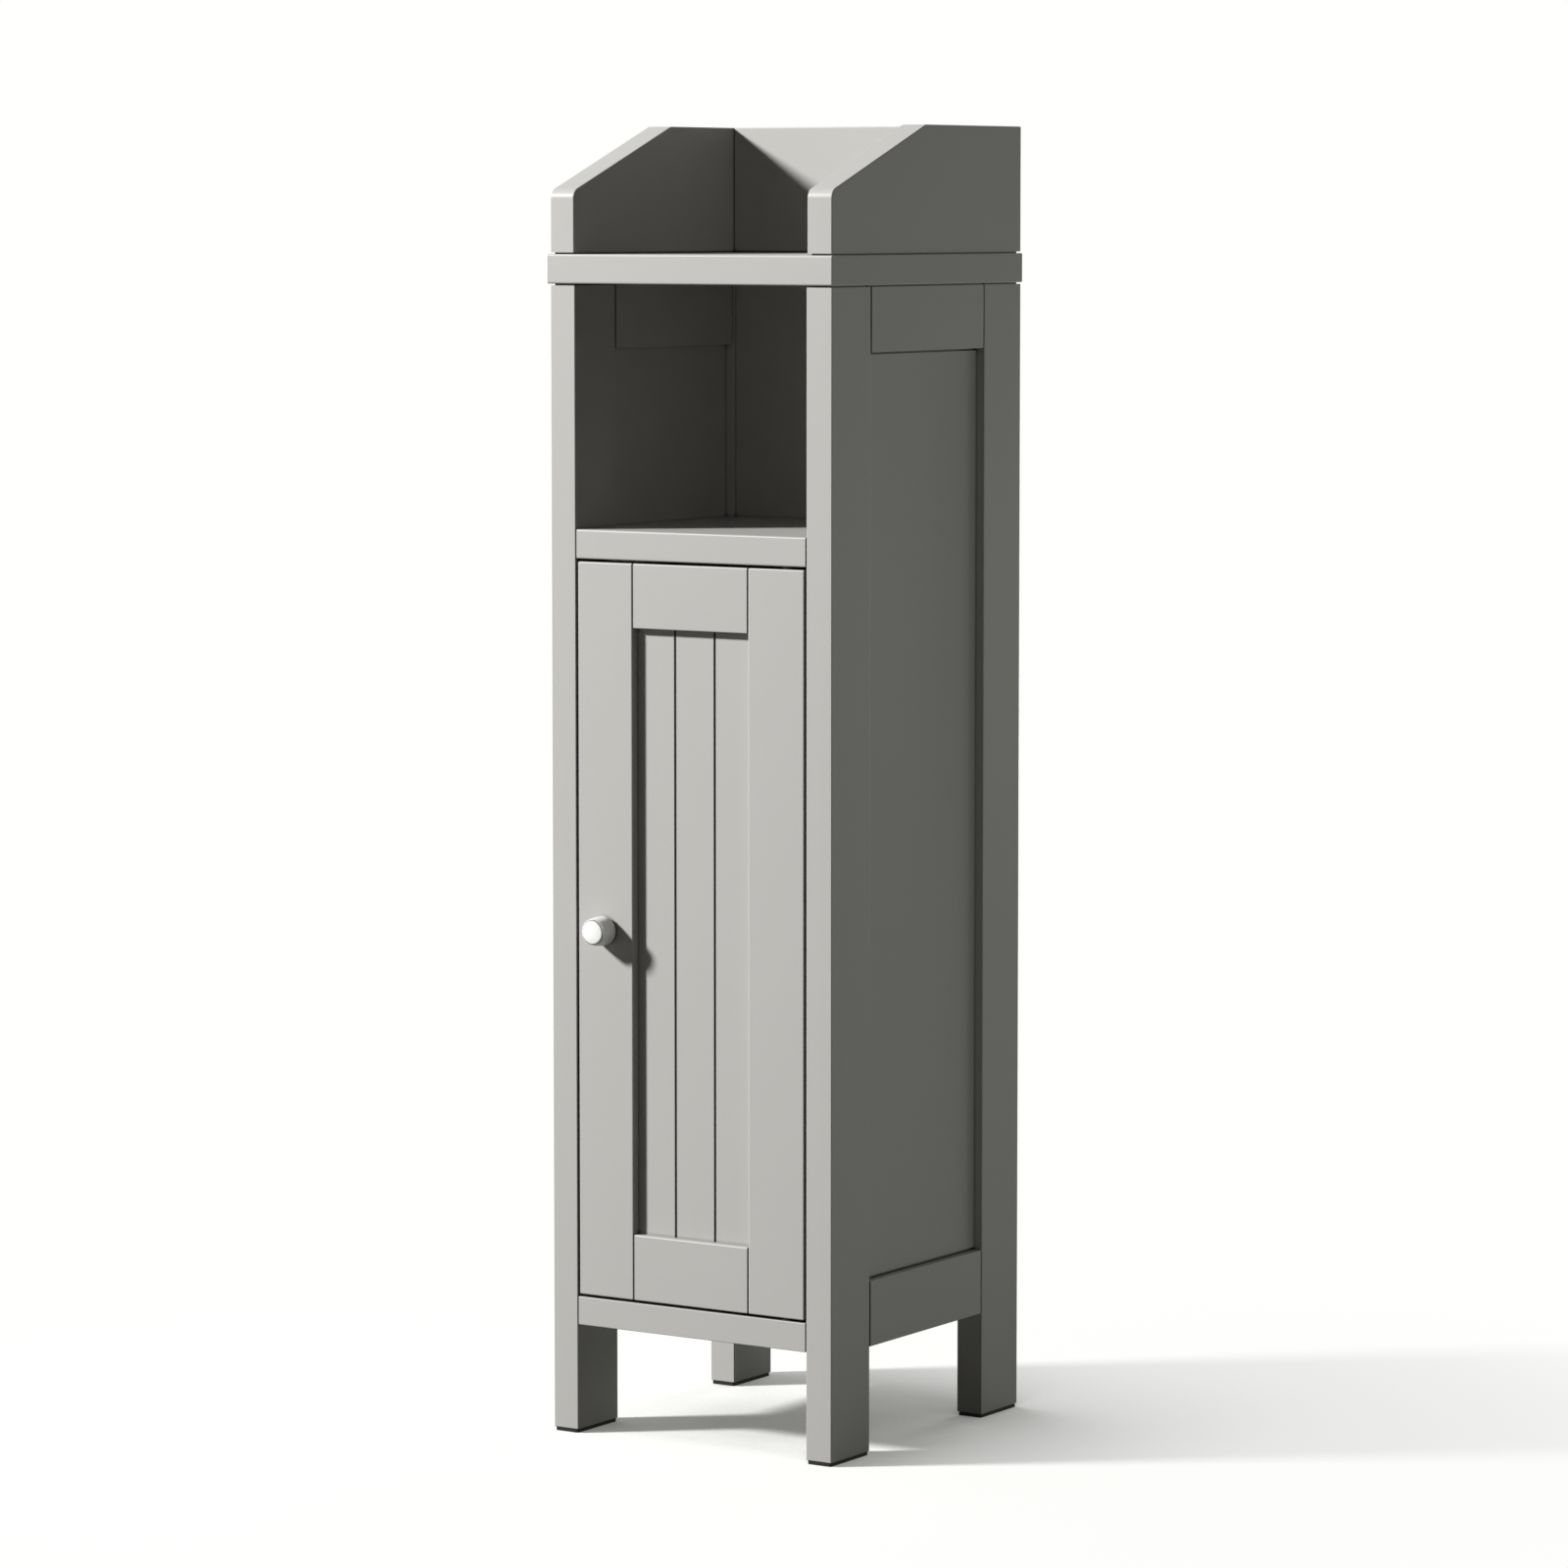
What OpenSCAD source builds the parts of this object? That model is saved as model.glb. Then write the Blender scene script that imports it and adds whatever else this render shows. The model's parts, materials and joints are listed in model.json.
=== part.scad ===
// Slim free-standing bathroom cabinet in painted wood: four legs in two panelled side
// frames, a cupboard with one door, an open compartment above it and a tray on top
// with sloping side guards. Millimetres, +Z up, front towards -Y.
// The origin is on the floor, in the middle of the cabinet's overall box.

/* [Cabinet] */
// Width over the legs
body_w = 300; // [270:1:380]
// Depth over the legs
body_d = 322; // [290:1:380]
// Clear height under the side frames
under_h = 98; // [60:1:180]
// Height of the open compartment
niche_h = 220.2; // [150:0.1:320]
// Distance from the rear plane to the front face of the back panel
back_set = 60; // [24:0.5:63]

/* [Side frames] */
// Thickness of a leg, side to side
leg_w = 26.4; // [24:0.1:34]
// Width of a leg, front to back
leg_d = 64; // [50:0.5:80]
// Height of the rails in the side frames
side_rail_h = 59; // [50:0.5:90]
// Thickness of the side panels
side_panel_t = 9.2; // [8:0.1:11]
// Depth that the side panels lie back from the outer face
side_recess = 8.6; // [5:0.1:10]
// Length of the tongues that go into the legs and rails
side_tongue = 9; // [5:0.5:12]
// Chamfer on the edges of legs, rails and boards
edge_c = 0.7; // [0.3:0.1:1.5]

/* [Boards] */
// Thickness of the top board
top_t = 26.6; // [22:0.1:32]
// Overhang of the top board at each side
top_over_side = 1.8; // [0.5:0.1:8]
// Overhang of the top board at the front
top_over_front = 3; // [0.5:0.1:10]
// Thickness of the fixed shelf
shelf_t = 26.6; // [22:0.1:30]
// Thickness of the bottom board
bottom_t = 26; // [22:0.1:30]
// Height of the bottom board's underside above the side frames' lower edge
bottom_rise = 2.5; // [0:0.5:12]
// Rounding of the top board's and the shelf's edges
board_r = 1.8; // [1:0.1:3]
// Thickness of the back panel
back_t = 9; // [6:0.5:12]
// Depth of the back panel in the grooves of the rear legs
back_tongue = 5; // [3:0.5:6]

/* [Loose shelf] */
// Thickness of the loose shelf
loose_t = 15; // [12:0.5:22]
// Height of the loose shelf's top above the floor
loose_z = 462; // [300:1:640]
// Distance from the front plane to the loose shelf's front edge
loose_front = 42; // [38:1:90]
// Play between the loose shelf and what stands beside it
loose_play = 1; // [0.5:0.1:3]
// Height of the shelf cleats
cleat_h = 18; // [14:0.5:26]
// Width of cleat that stands out past the legs' inner faces
cleat_proud = 8; // [5:0.5:14]

/* [Tray] */
// Thickness of the side guards
guard_t = 25.6; // [22:0.1:32]
// Height of the guards at the back
guard_h = 115.4; // [90:0.1:150]
// Height at which the sloping edge would meet the front edge
guard_front_h = 56.4; // [40:0.1:70]
// Length of the sloping edge, front to back
guard_run = 156.3; // [120:0.1:180]
// Rounding of the guards' front corner
guard_corner_r = 10; // [4:0.5:20]
// Rounding between the sloping edge and the level edge
guard_crest_r = 12; // [4:0.5:20]
// Thickness of the back guard
back_guard_t = 18; // [16:0.5:22]
// Distance from the rear plane to the front face of the back guard
back_guard_set = 62; // [60:0.5:90]

/* [Door] */
// Height of the door
door_h = 667.5; // [560:0.5:780]
// Thickness of the door frame
door_t = 18; // [18:0.5:22]
// Gap all round the door
door_gap = 2.3; // [2.2:0.1:4]
// Width of the door's stiles
stile_w = 59.3; // [52:0.1:66]
// Height of the door's top rail
door_top_h = 58.5; // [50:0.5:80]
// Height of the door's bottom rail
door_bottom_h = 60; // [50:0.5:80]
// Depth that the door's boards lie back from the frame's face
door_recess = 8.4; // [4:0.1:8.8]
// Thickness of the door's tongue-and-groove boards
door_board_t = 7; // [6:0.1:8]
// Spacing of the grooves between the boards
board_pitch = 42.4; // [34:0.1:48]
// Width of the grooves between the boards
groove_w = 2.2; // [1.5:0.1:4]
// Length of the tongues that go into the door's frame
door_tongue = 9; // [5:0.5:12]

/* [Hinge] */
// Distance from the door's edge to the pivot
pivot_in = 22; // [20:0.5:26]
// Radius of the pivot pins
pin_r = 2.5; // [2:0.1:3]
// Length of the pins inside the bushes
pin_out = 10; // [7:0.5:12]
// Length of the pins inside the door
pin_in = 22; // [14:0.5:30]
// Radius of the pivot bushes
bush_r = 4.6; // [4:0.1:6]
// Length of the bushes inside the boards
bush_depth = 12; // [9:0.5:14]
// Width of the bushes' flange
bush_flange = 1.9; // [1:0.1:3]
// Thickness of the bushes' flange
bush_flange_t = 1; // [0.6:0.1:1]
// Play of the pins in the bushes, on the radius
pin_play = 0.05; // [0.03:0.01:0.1]
// Play between the pins' collars and the bushes
collar_play = 0.3; // [0.15:0.05:0.4]

/* [Knob] */
// Distance from the door's face to the knob's face
knob_reach = 22; // [16:0.5:32]
// Largest radius of the knob
knob_r = 13.3; // [12:0.1:16]
// Radius of the knob's flat face
knob_face_r = 11; // [8:0.1:11]
// Radius of the knob's neck
knob_neck_r = 8.4; // [6:0.1:10]
// Length of the knob's neck
knob_neck_h = 2.6; // [1.5:0.1:4]
// Height of the knob above the floor
knob_z = 464; // [300:1:620]

/* [Catch] */
// Width of the magnetic catch between its lugs
catch_w = 34; // [30:0.5:44]
// Depth of the magnetic catch
catch_d = 15; // [12:0.5:20]
// Height of the magnetic catch
catch_h = 12; // [11:0.5:16]
// Width of each lug
lug_w = 9; // [8:0.5:12]
// Thickness of the lugs
lug_t = 2.4; // [2:0.1:4]
// Distance from the leg to the middle of the catch
catch_in = 45; // [36:1:60]
// Thickness of the strike plate
strike_t = 1.2; // [0.8:0.1:2]
// Gap between the catch and the strike plate
catch_gap = 0.3; // [0.1:0.05:0.5]

/* [Wall brackets] */
// Distance between the two brackets' middles
bracket_pitch = 160; // [110:1:180]
// Width of a bracket
bracket_w = 30; // [22:1:40]
// Height of a bracket
bracket_h = 34; // [28:1:50]
// Depth of a bracket
bracket_d = 30; // [24:1:36]
// Thickness of a bracket's steel
bracket_t = 2; // [1.5:0.1:3]
// Radius of the hole for the wall screw
wall_hole_r = 2.75; // [2:0.05:3.5]
// Height of the wall screw's hole above the tray
wall_hole_z = 20; // [16:0.5:22]

/* [Feet] */
// Thickness of the foot pads
pad_t = 3.4; // [2:0.1:6]
// Distance that the pads stay inside the legs' edges
pad_inset = 0.8; // [0.5:0.1:5]

/* [Fixings] */
// Radius of the dowels
dowel_r = 4; // [3:0.5:5]
// Length of the dowels
dowel_l = 24; // [18:1:24]
// Radius of the cam locks
cam_r = 7.5; // [6:0.5:9]
// Distance from the board's end to the middle of a cam lock
cam_in = 24; // [20:1:34]
// Height of a cam lock above the middle of its board
cam_over = 4; // [4:0.5:6]
// Depth of the cam bolts in the side frames
bolt_depth = 8; // [6:0.5:8]
// Radius of a screw's shank
screw_r = 1.8; // [1.5:0.1:2]
// Radius of a screw's head
head_r = 3.6; // [3:0.1:4]
// Length of the long screws
long_screw_l = 60; // [50:1:70]
// Length of the middling screws
mid_screw_l = 30; // [26:1:34]
// Length of the short screws
short_screw_l = 14; // [10:0.5:16]

/* [Clearances] */
// Play of panels and tongues in their grooves, on each side
groove_play = 0.1; // [0.05:0.05:0.3]
// Room left past the end of tongues and dowels
end_play = 0.5; // [0.2:0.1:1]
// Play round dowels, screws, bushes and pins that are fixed
fix_play = 0.05; // [0.02:0.01:0.1]

/* [Hidden] */
$fn = 48;
paint = [0.72, 0.715, 0.70];
black = [0.08, 0.08, 0.08];
white = [0.95, 0.95, 0.93];
steel = [0.70, 0.71, 0.72];
black_steel = [0.20, 0.20, 0.21];
nylon = [0.1, 0.1, 0.1];
beech = [0.80, 0.66, 0.46];
half_w = body_w / 2;
leg_in = half_w - leg_w;
rear_leg_y = body_d - leg_d;
front_y = (knob_reach - body_d) / 2;
// Levels above the floor
bottom_z = under_h + bottom_rise;
bottom_top = bottom_z + bottom_t;
door_z = bottom_top + door_gap;
door_top = door_z + door_h;
shelf_z = door_top + door_gap;
shelf_top = shelf_z + shelf_t;
leg_top = shelf_top + niche_h;
tray_z = leg_top + top_t;
// Depths behind the front plane
back_y = body_d - back_set;
back_guard_y = body_d - back_guard_set;
inner_recess = leg_w - side_recess - side_panel_t;
// Grooves of the side frames
side_groove_w = side_panel_t + 2 * groove_play;
side_groove_d = side_tongue + end_play;
side_groove_x = -half_w + side_recess - groove_play;
// Door frame, with x from the middle of the cabinet
door_half = leg_in - door_gap;
opening_half = door_half - stile_w;
door_groove_d = door_tongue + end_play;
pivot_x = door_half - pivot_in;
pivot_y = door_t / 2;
knob_x = -(door_half - stile_w / 2);
// Tongue and groove between the door's boards
board_tongue_t = door_board_t / 3;
board_tongue_l = 4;
// Catch and strike plate
catch_x = -(leg_in - catch_in);
catch_y = door_t + strike_t + catch_gap;
catch_wall = 4;
catch_skin = 2.5;
lug_inset = 1;
strike_w = 24;
strike_h = 10;
strike_drop = 1;
// Pins and their collars
pin_tip = 1;
collar_t = door_gap - bush_flange_t - collar_play;
collar_r = bush_r + bush_flange - 0.8;
// Knob: rounding of its rim, swell of its side, line round its face
knob_lip = 1.6;
knob_bulge = 0.5;
knob_shoulder_r = knob_face_r + 0.3;
knob_line = 0.5;
knob_face_t = 1.2;
knob_face_edge = 0.5;
knob_sink = 14;
knob_steps = 8;
// Cam locks behind the catch, and further back in the bottom board
cam_gap = 4;
front_cam_y = catch_y + catch_d + cam_gap + cam_r;
rear_cam_in = 70;
cam_slot = 3;
bolt_r = 2.5;
bolt_head_r = 3.4;
bolt_head_l = 4;
// Dowels: chamfer, spacing, and distances from the edges that they stand by
dowel_tip = 1;
dowel_pitch = 16;
front_dowel_y = (front_cam_y - dowel_pitch) / 2;
rear_dowel_in = 30;
guard_dowel_in = 30;
level_dowel_in = 30;
// Screws: heads, driver recess, and distances from the edges that they stand by
head_h = head_r - screw_r;
pan_top_r = head_r * 0.8;
cross_l = head_r * 1.1;
cross_w = 0.9;
cross_depth = 1;
back_screw_in = 30;
cleat_screw_in = 30;
cleat_screw_l = inner_recess + cleat_proud + side_panel_t - 2;
bracket_screw_in = 7;
bracket_screw_y = 18;
// Foot pads and their nails
pad_corner_r = 2;
nail_l = 18;
nail_r = 1.2;
nail_head_r = 3;
nail_head_t = 0.8;
nail_sink = 0.6;
// Length by which a cutting shape runs past a face
cut = 1;

// ---------------------------------------------------------------- shared shapes

// Everything is drawn behind a front plane at y = 0 and set in place by this.
module in_frame() {
    translate([0, front_y, 0]) children();
}

// Rectangle with chamfered corners
module eased_rect(w, h, c) {
    polygon([[c, 0], [w - c, 0], [w, c], [w, h - c], [w - c, h], [c, h], [0, h - c], [0, c]]);
}

// Rectangle with round corners
module round_rect(w, h, r) {
    translate([r, 0]) square([w - 2 * r, h]);
    translate([0, r]) square([w, h - 2 * r]);
    for (x = [r, w - r], y = [r, h - r]) translate([x, y]) circle(r);
}

// Box from p, of that size, with all its edges chamfered
module eased_box(p, size, c = edge_c) {
    translate(p) intersection() {
        linear_extrude(size.z) eased_rect(size.x, size.y, c);
        rotate([90, 0, 90]) linear_extrude(size.x) eased_rect(size.y, size.z, c);
        translate([0, size.y, 0]) rotate([90, 0, 0])
            linear_extrude(size.y) eased_rect(size.x, size.z, c);
    }
}

// Board from p, of that size, with its long front edges rounded and its ends chamfered
module round_front_board(p, size, r = board_r) {
    translate(p) intersection() {
        linear_extrude(size.z) eased_rect(size.x, size.y, edge_c);
        rotate([90, 0, 90]) linear_extrude(size.x) union() {
            round_rect(size.y, size.z, r);
            translate([size.y / 2, 0]) square([size.y / 2, size.z]);
        }
        translate([0, size.y, 0]) rotate([90, 0, 0])
            linear_extrude(size.y) eased_rect(size.x, size.z, edge_c);
    }
}

// The same piece on the other side of the cabinet
module other_side() {
    mirror([1, 0, 0]) children();
}

// The same piece at the other end, front to back
module other_end() {
    translate([0, body_d, 0]) mirror([0, 1, 0]) children();
}

// Cylinder from p along a direction given as a rotation
module rod(p, turn, l, r) {
    translate(p) rotate(turn) cylinder(h = l, r = r);
}

// Screw with a countersunk head whose top is at z = 0, pointing down
module sunk_screw(l, grow = 0) {
    translate([0, 0, -l - (grow > 0 ? end_play : 0)])
        cylinder(h = l + (grow > 0 ? end_play : 0), r = screw_r + grow);
    translate([0, 0, -head_h]) cylinder(h = head_h, r1 = screw_r + grow, r2 = head_r + grow);
    if (grow > 0) cylinder(h = cut, r = head_r + grow);
}

// Screw with a low round head that stands on z = 0, pointing down
module pan_screw(l, grow = 0) {
    translate([0, 0, -l - (grow > 0 ? end_play : 0)])
        cylinder(h = l + cut + (grow > 0 ? end_play : 0), r = screw_r + grow);
    if (grow == 0) cylinder(h = head_h, r1 = head_r, r2 = pan_top_r);
}

// Cross recess for a driver, cut down from z = 0
module cross_recess(depth = cross_depth) {
    for (a = [0, 90]) rotate([0, 0, a])
        translate([-cross_l / 2, -cross_w / 2, -depth]) cube([cross_l, cross_w, depth + cut]);
}

// ---------------------------------------------------------------- fixings and their places

// Each child stands where a dowel joins a board to a side frame, along X
module at_frame_dowels() {
    for (s = [-1, 1]) {
        for (y = [front_dowel_y, front_dowel_y + dowel_pitch])
            translate([s * leg_in, y, shelf_z + shelf_t / 2]) rotate([0, 90, 0]) children();
        for (y = [front_dowel_y, back_y - rear_dowel_in])
            translate([s * leg_in, y, bottom_z + bottom_t / 2]) rotate([0, 90, 0]) children();
    }
}

// Each child stands where a dowel joins a guard to the top board, along Z
module at_upright_dowels() {
    for (s = [-1, 1]) {
        for (y = [leg_d + guard_dowel_in, rear_leg_y - guard_dowel_in])
            translate([s * (half_w - guard_t / 2), y, tray_z]) children();
        translate([s * (half_w - guard_t) / 2, back_guard_y + back_guard_t / 2, tray_z])
            children();
    }
}

// Each child stands where a dowel joins the back guard to a side guard, along X
module at_level_dowels() {
    for (s = [-1, 1], z = [level_dowel_in, guard_h - level_dowel_in])
        translate([s * (half_w - guard_t), back_guard_y + back_guard_t / 2, tray_z + z])
            rotate([0, 90, 0]) children();
}

// Dowel, halved about its middle; grown by its play it is the dowel's hole
module dowel(grow = 0) {
    l = grow > 0 ? dowel_l + 2 * end_play : dowel_l;
    tip = grow > 0 ? 0 : dowel_tip;
    translate([0, 0, -l / 2 + tip]) cylinder(h = l - 2 * tip, r = dowel_r + grow);
    if (grow == 0) {
        translate([0, 0, -l / 2]) cylinder(h = tip, r1 = dowel_r - tip, r2 = dowel_r);
        translate([0, 0, l / 2 - tip]) cylinder(h = tip, r1 = dowel_r, r2 = dowel_r - tip);
    }
}

// Places of the cam locks: depth behind the front plane, underside and thickness of the board
cam_places = [
    [front_cam_y, shelf_z, shelf_t],
    [front_cam_y, bottom_z, bottom_t],
    [back_y - rear_cam_in, bottom_z, bottom_t]
];

// Round cam lock in the underside of a board, at the right-hand end
module cam(place, grow = 0) {
    translate([leg_in - cam_in, place[0], place[1] - (grow > 0 ? cut : 0)])
        cylinder(h = place[2] / 2 + cam_over + (grow > 0 ? cut : 0), r = cam_r + grow);
}

// Cam bolt from the side frame into the cam lock, at the right-hand end
module cam_bolt(place, grow = 0) {
    mid_z = place[1] + place[2] / 2;
    tail = grow > 0 ? end_play : 0;
    rod([leg_in - cam_in, place[0], mid_z], [0, 90, 0],
        cam_in + bolt_depth + tail, bolt_r + grow);
    rod([leg_in - cam_in - bolt_head_l / 2, place[0], mid_z], [0, 90, 0],
        bolt_head_l, bolt_head_r + grow);
    if (grow > 0)
        rod([leg_in - cam_in, place[0], mid_z], [0, 90, 0], cam_in, bolt_head_r + grow);
}

// Holes for all the fixings at the boards' ends
module board_fixing_holes() {
    at_frame_dowels() dowel(fix_play);
    for (place = cam_places) {
        cam(place, fix_play);
        other_side() cam(place, fix_play);
        cam_bolt(place, fix_play);
        other_side() cam_bolt(place, fix_play);
    }
}

// Holes for the shanks of the cam bolts and dowels in the side frames
module frame_fixing_holes() {
    at_frame_dowels() dowel(fix_play);
    for (place = cam_places)
        rod([leg_in, place[0], place[1] + place[2] / 2], [0, 90, 0],
            bolt_depth + end_play, bolt_r + fix_play);
}

// Each child points down from the top board's upper face, over a leg's middle
module at_top_screws() {
    for (s = [-1, 1], y = [leg_d / 2, body_d - leg_d / 2])
        translate([s * (half_w - leg_w / 2), y, tray_z]) children();
}

// Each child points forward from the back panel's rear face, into a board
module at_back_screws() {
    for (s = [-1, 0, 1], z = [bottom_z + bottom_t / 2, shelf_z + shelf_t / 2])
        translate([s * (leg_in - back_screw_in), back_y + back_t, z])
            rotate([-90, 0, 0]) children();
}

// Each child points from a cleat's inner face out to the side panel, on the right
module at_cleat_screws() {
    for (y = [leg_d + cleat_screw_in, rear_leg_y - cleat_screw_in])
        translate([leg_in - cleat_proud, y, loose_z - loose_t - cleat_h / 2])
            rotate([0, -90, 0]) children();
}

// Each child points up into the shelf from a lug of the catch
module at_catch_screws() {
    for (s = [-1, 1])
        translate([catch_x + s * (catch_w + lug_w) / 2, catch_y + catch_d / 2, shelf_z - lug_t])
            rotate([180, 0, 0]) children();
}

// Each child points down into the top board from a bracket's foot
module at_bracket_screws() {
    for (s = [-1, 1], side = [-1, 1])
        translate([s * bracket_pitch / 2 + side * (bracket_w / 2 - bracket_screw_in),
            body_d - bracket_screw_y, tray_z + bracket_t]) children();
}

// Child stands on the pivot line at that height
module at_pivot(z) {
    translate([pivot_x, pivot_y, z]) children();
}

// Child points along the knob's axis, away from the door, from the door's face
module at_knob() {
    translate([knob_x, 0, knob_z]) rotate([90, 0, 0]) children();
}

// Child points into the door from the strike plate's face
module at_strike() {
    translate([catch_x, door_t + strike_t, door_top - strike_drop - strike_h / 2])
        rotate([-90, 0, 0]) children();
}

// ---------------------------------------------------------------- side frames

// Leg at the front right; the others are its mirror images
module leg() {
    difference() {
        eased_box([leg_in, 0, pad_t], [leg_w, leg_d, leg_top - pad_t]);
        translate([-side_groove_x - side_groove_w, leg_d - side_groove_d, under_h])
            cube([side_groove_w, side_groove_d + cut, leg_top - under_h + cut]);
        at_top_screws() sunk_screw(long_screw_l, fix_play);
        at_pad_nails() pad_nail(fix_play);
    }
}

module front_leg() {
    difference() {
        leg();
        frame_fixing_holes();
    }
}

// Groove for the back panel in a rear leg, on the right
module back_groove() {
    translate([leg_in - cut, back_y - groove_play, bottom_z - groove_play])
        cube([back_tongue + end_play + cut, back_t + 2 * groove_play, leg_top]);
}

module rear_leg() {
    difference() {
        other_end() leg();
        back_groove();
    }
}

module front_right_leg() { color(paint) in_frame() front_leg(); }
module front_left_leg() { color(paint) in_frame() other_side() front_leg(); }
module back_right_leg() { color(paint) in_frame() rear_leg(); }
module back_left_leg() { color(paint) in_frame() other_side() rear_leg(); }

// Rail on the right with its lower edge at z, and its panel groove at the level edge_z
module side_rail(z, edge_z) {
    difference() {
        union() {
            eased_box([leg_in, leg_d, z], [leg_w, rear_leg_y - leg_d, side_rail_h]);
            translate([half_w - side_recess - side_panel_t, leg_d - side_tongue, z])
                cube([side_panel_t, rear_leg_y - leg_d + 2 * side_tongue, side_rail_h]);
        }
        translate([-side_groove_x - side_groove_w, leg_d - side_tongue - cut,
            edge_z - side_groove_d])
            cube([side_groove_w, rear_leg_y - leg_d + 2 * (side_tongue + cut),
                2 * side_groove_d]);
    }
}

module top_rail() {
    side_rail(leg_top - side_rail_h, leg_top - side_rail_h);
}

module bottom_rail() {
    difference() {
        side_rail(under_h, under_h + side_rail_h);
        frame_fixing_holes();
    }
}

module right_top_rail() { color(paint) in_frame() top_rail(); }
module left_top_rail() { color(paint) in_frame() other_side() top_rail(); }
module right_bottom_rail() { color(paint) in_frame() bottom_rail(); }
module left_bottom_rail() { color(paint) in_frame() other_side() bottom_rail(); }

// Side panel on the right; it stands on the floor of the bottom rail's groove
module side_panel() {
    low = under_h + side_rail_h - side_groove_d;
    high = leg_top - side_rail_h + side_tongue;
    difference() {
        translate([half_w - side_recess - side_panel_t, leg_d - side_tongue, low])
            cube([side_panel_t, rear_leg_y - leg_d + 2 * side_tongue, high - low]);
        at_cleat_screws() sunk_screw(cleat_screw_l, fix_play);
    }
}

module right_side_panel() { color(paint) in_frame() side_panel(); }
module left_side_panel() { color(paint) in_frame() other_side() side_panel(); }

// ---------------------------------------------------------------- boards

module back_panel() {
    color(paint) in_frame() difference() {
        translate([-leg_in - back_tongue, back_y, bottom_z])
            cube([2 * (leg_in + back_tongue), back_t, leg_top - bottom_z]);
        at_back_screws() sunk_screw(mid_screw_l, fix_play);
    }
}

module top_board() {
    size = [body_w + 2 * top_over_side, body_d + top_over_front, top_t];
    color(paint) in_frame() difference() {
        round_front_board([-size.x / 2, -top_over_front, leg_top], size);
        at_top_screws() sunk_screw(long_screw_l, fix_play);
        at_upright_dowels() dowel(fix_play);
        at_bracket_screws() pan_screw(short_screw_l, fix_play);
    }
}

// The shelf fills the recesses of the side frames between its legs
module fixed_shelf() {
    color(paint) in_frame() difference() {
        union() {
            round_front_board([-leg_in, 0, shelf_z], [2 * leg_in, back_y, shelf_t]);
            translate([-leg_in - inner_recess, leg_d, shelf_z])
                cube([2 * (leg_in + inner_recess), rear_leg_y - leg_d, shelf_t]);
        }
        board_fixing_holes();
        at_pivot(shelf_z) bush_hole();
        at_catch_screws() pan_screw(short_screw_l, fix_play);
        at_back_screws() sunk_screw(mid_screw_l, fix_play);
    }
}

module bottom_board() {
    color(paint) in_frame() difference() {
        round_front_board([-leg_in, 0, bottom_z], [2 * leg_in, back_y, bottom_t], edge_c);
        board_fixing_holes();
        at_pivot(bottom_top) mirror([0, 0, 1]) bush_hole();
        at_back_screws() sunk_screw(mid_screw_l, fix_play);
    }
}

module loose_shelf() {
    half = leg_in - loose_play;
    color(paint) in_frame()
        eased_box([-half, loose_front, loose_z - loose_t],
            [2 * half, back_y - loose_play - loose_front, loose_t]);
}

// Cleat on the right, in the recess between the legs, against the side panel
module cleat() {
    difference() {
        eased_box([leg_in - cleat_proud, leg_d + end_play, loose_z - loose_t - cleat_h],
            [cleat_proud + inner_recess, rear_leg_y - leg_d - 2 * end_play, cleat_h]);
        at_cleat_screws() sunk_screw(cleat_screw_l, fix_play);
    }
}

module right_cleat() { color(paint) in_frame() cleat(); }
module left_cleat() { color(paint) in_frame() other_side() cleat(); }

// ---------------------------------------------------------------- tray

// Outline of a side guard, front edge at x = 0 and lower edge at y = 0
module guard_outline() {
    slope = atan((guard_h - guard_front_h) / guard_run);
    corner = guard_corner_r * tan((90 - slope) / 2);
    crest = guard_crest_r * tan(slope / 2);
    polygon([
        [edge_c, 0], [body_d - edge_c, 0], [body_d, edge_c],
        [body_d, guard_h - edge_c], [body_d - edge_c, guard_h],
        [guard_run + crest, guard_h],
        [guard_run + crest, guard_h - guard_crest_r],
        [guard_run - crest * cos(slope), guard_h - crest * sin(slope)],
        [corner * cos(slope), guard_front_h + corner * sin(slope)],
        [guard_corner_r, guard_front_h - corner],
        [0, guard_front_h - corner], [0, edge_c]
    ]);
    translate([guard_corner_r, guard_front_h - corner]) circle(guard_corner_r);
    translate([guard_run + crest, guard_h - guard_crest_r]) circle(guard_crest_r);
}

// Side guard on the right
module side_guard() {
    difference() {
        intersection() {
            translate([half_w - guard_t, 0, tray_z])
                rotate([90, 0, 90]) linear_extrude(guard_t) guard_outline();
            eased_box([half_w - guard_t, 0, tray_z], [guard_t, body_d, guard_h]);
        }
        at_upright_dowels() dowel(fix_play);
        at_level_dowels() dowel(fix_play);
    }
}

module right_guard() { color(paint) in_frame() side_guard(); }
module left_guard() { color(paint) in_frame() other_side() side_guard(); }

module back_guard() {
    half = half_w - guard_t;
    color(paint) in_frame() difference() {
        eased_box([-half, back_guard_y, tray_z], [2 * half, back_guard_t, guard_h]);
        at_upright_dowels() dowel(fix_play);
        at_level_dowels() dowel(fix_play);
    }
}

// ---------------------------------------------------------------- feet

// Child stands in the middle of the front right leg's foot, on the floor
module at_pad_nails() {
    translate([half_w - leg_w / 2, leg_d / 2, 0]) children();
}

// Nail up into the leg, its head sunk in the pad; grown by its play it is the nail's hole
module pad_nail(grow = 0) {
    translate([0, 0, nail_sink]) cylinder(h = nail_head_t, r = nail_head_r + grow);
    translate([0, 0, nail_sink])
        cylinder(h = nail_l + (grow > 0 ? end_play : 0), r = nail_r + grow);
    if (grow > 0) translate([0, 0, -cut]) cylinder(h = cut + nail_sink, r = nail_head_r + grow);
}

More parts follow.
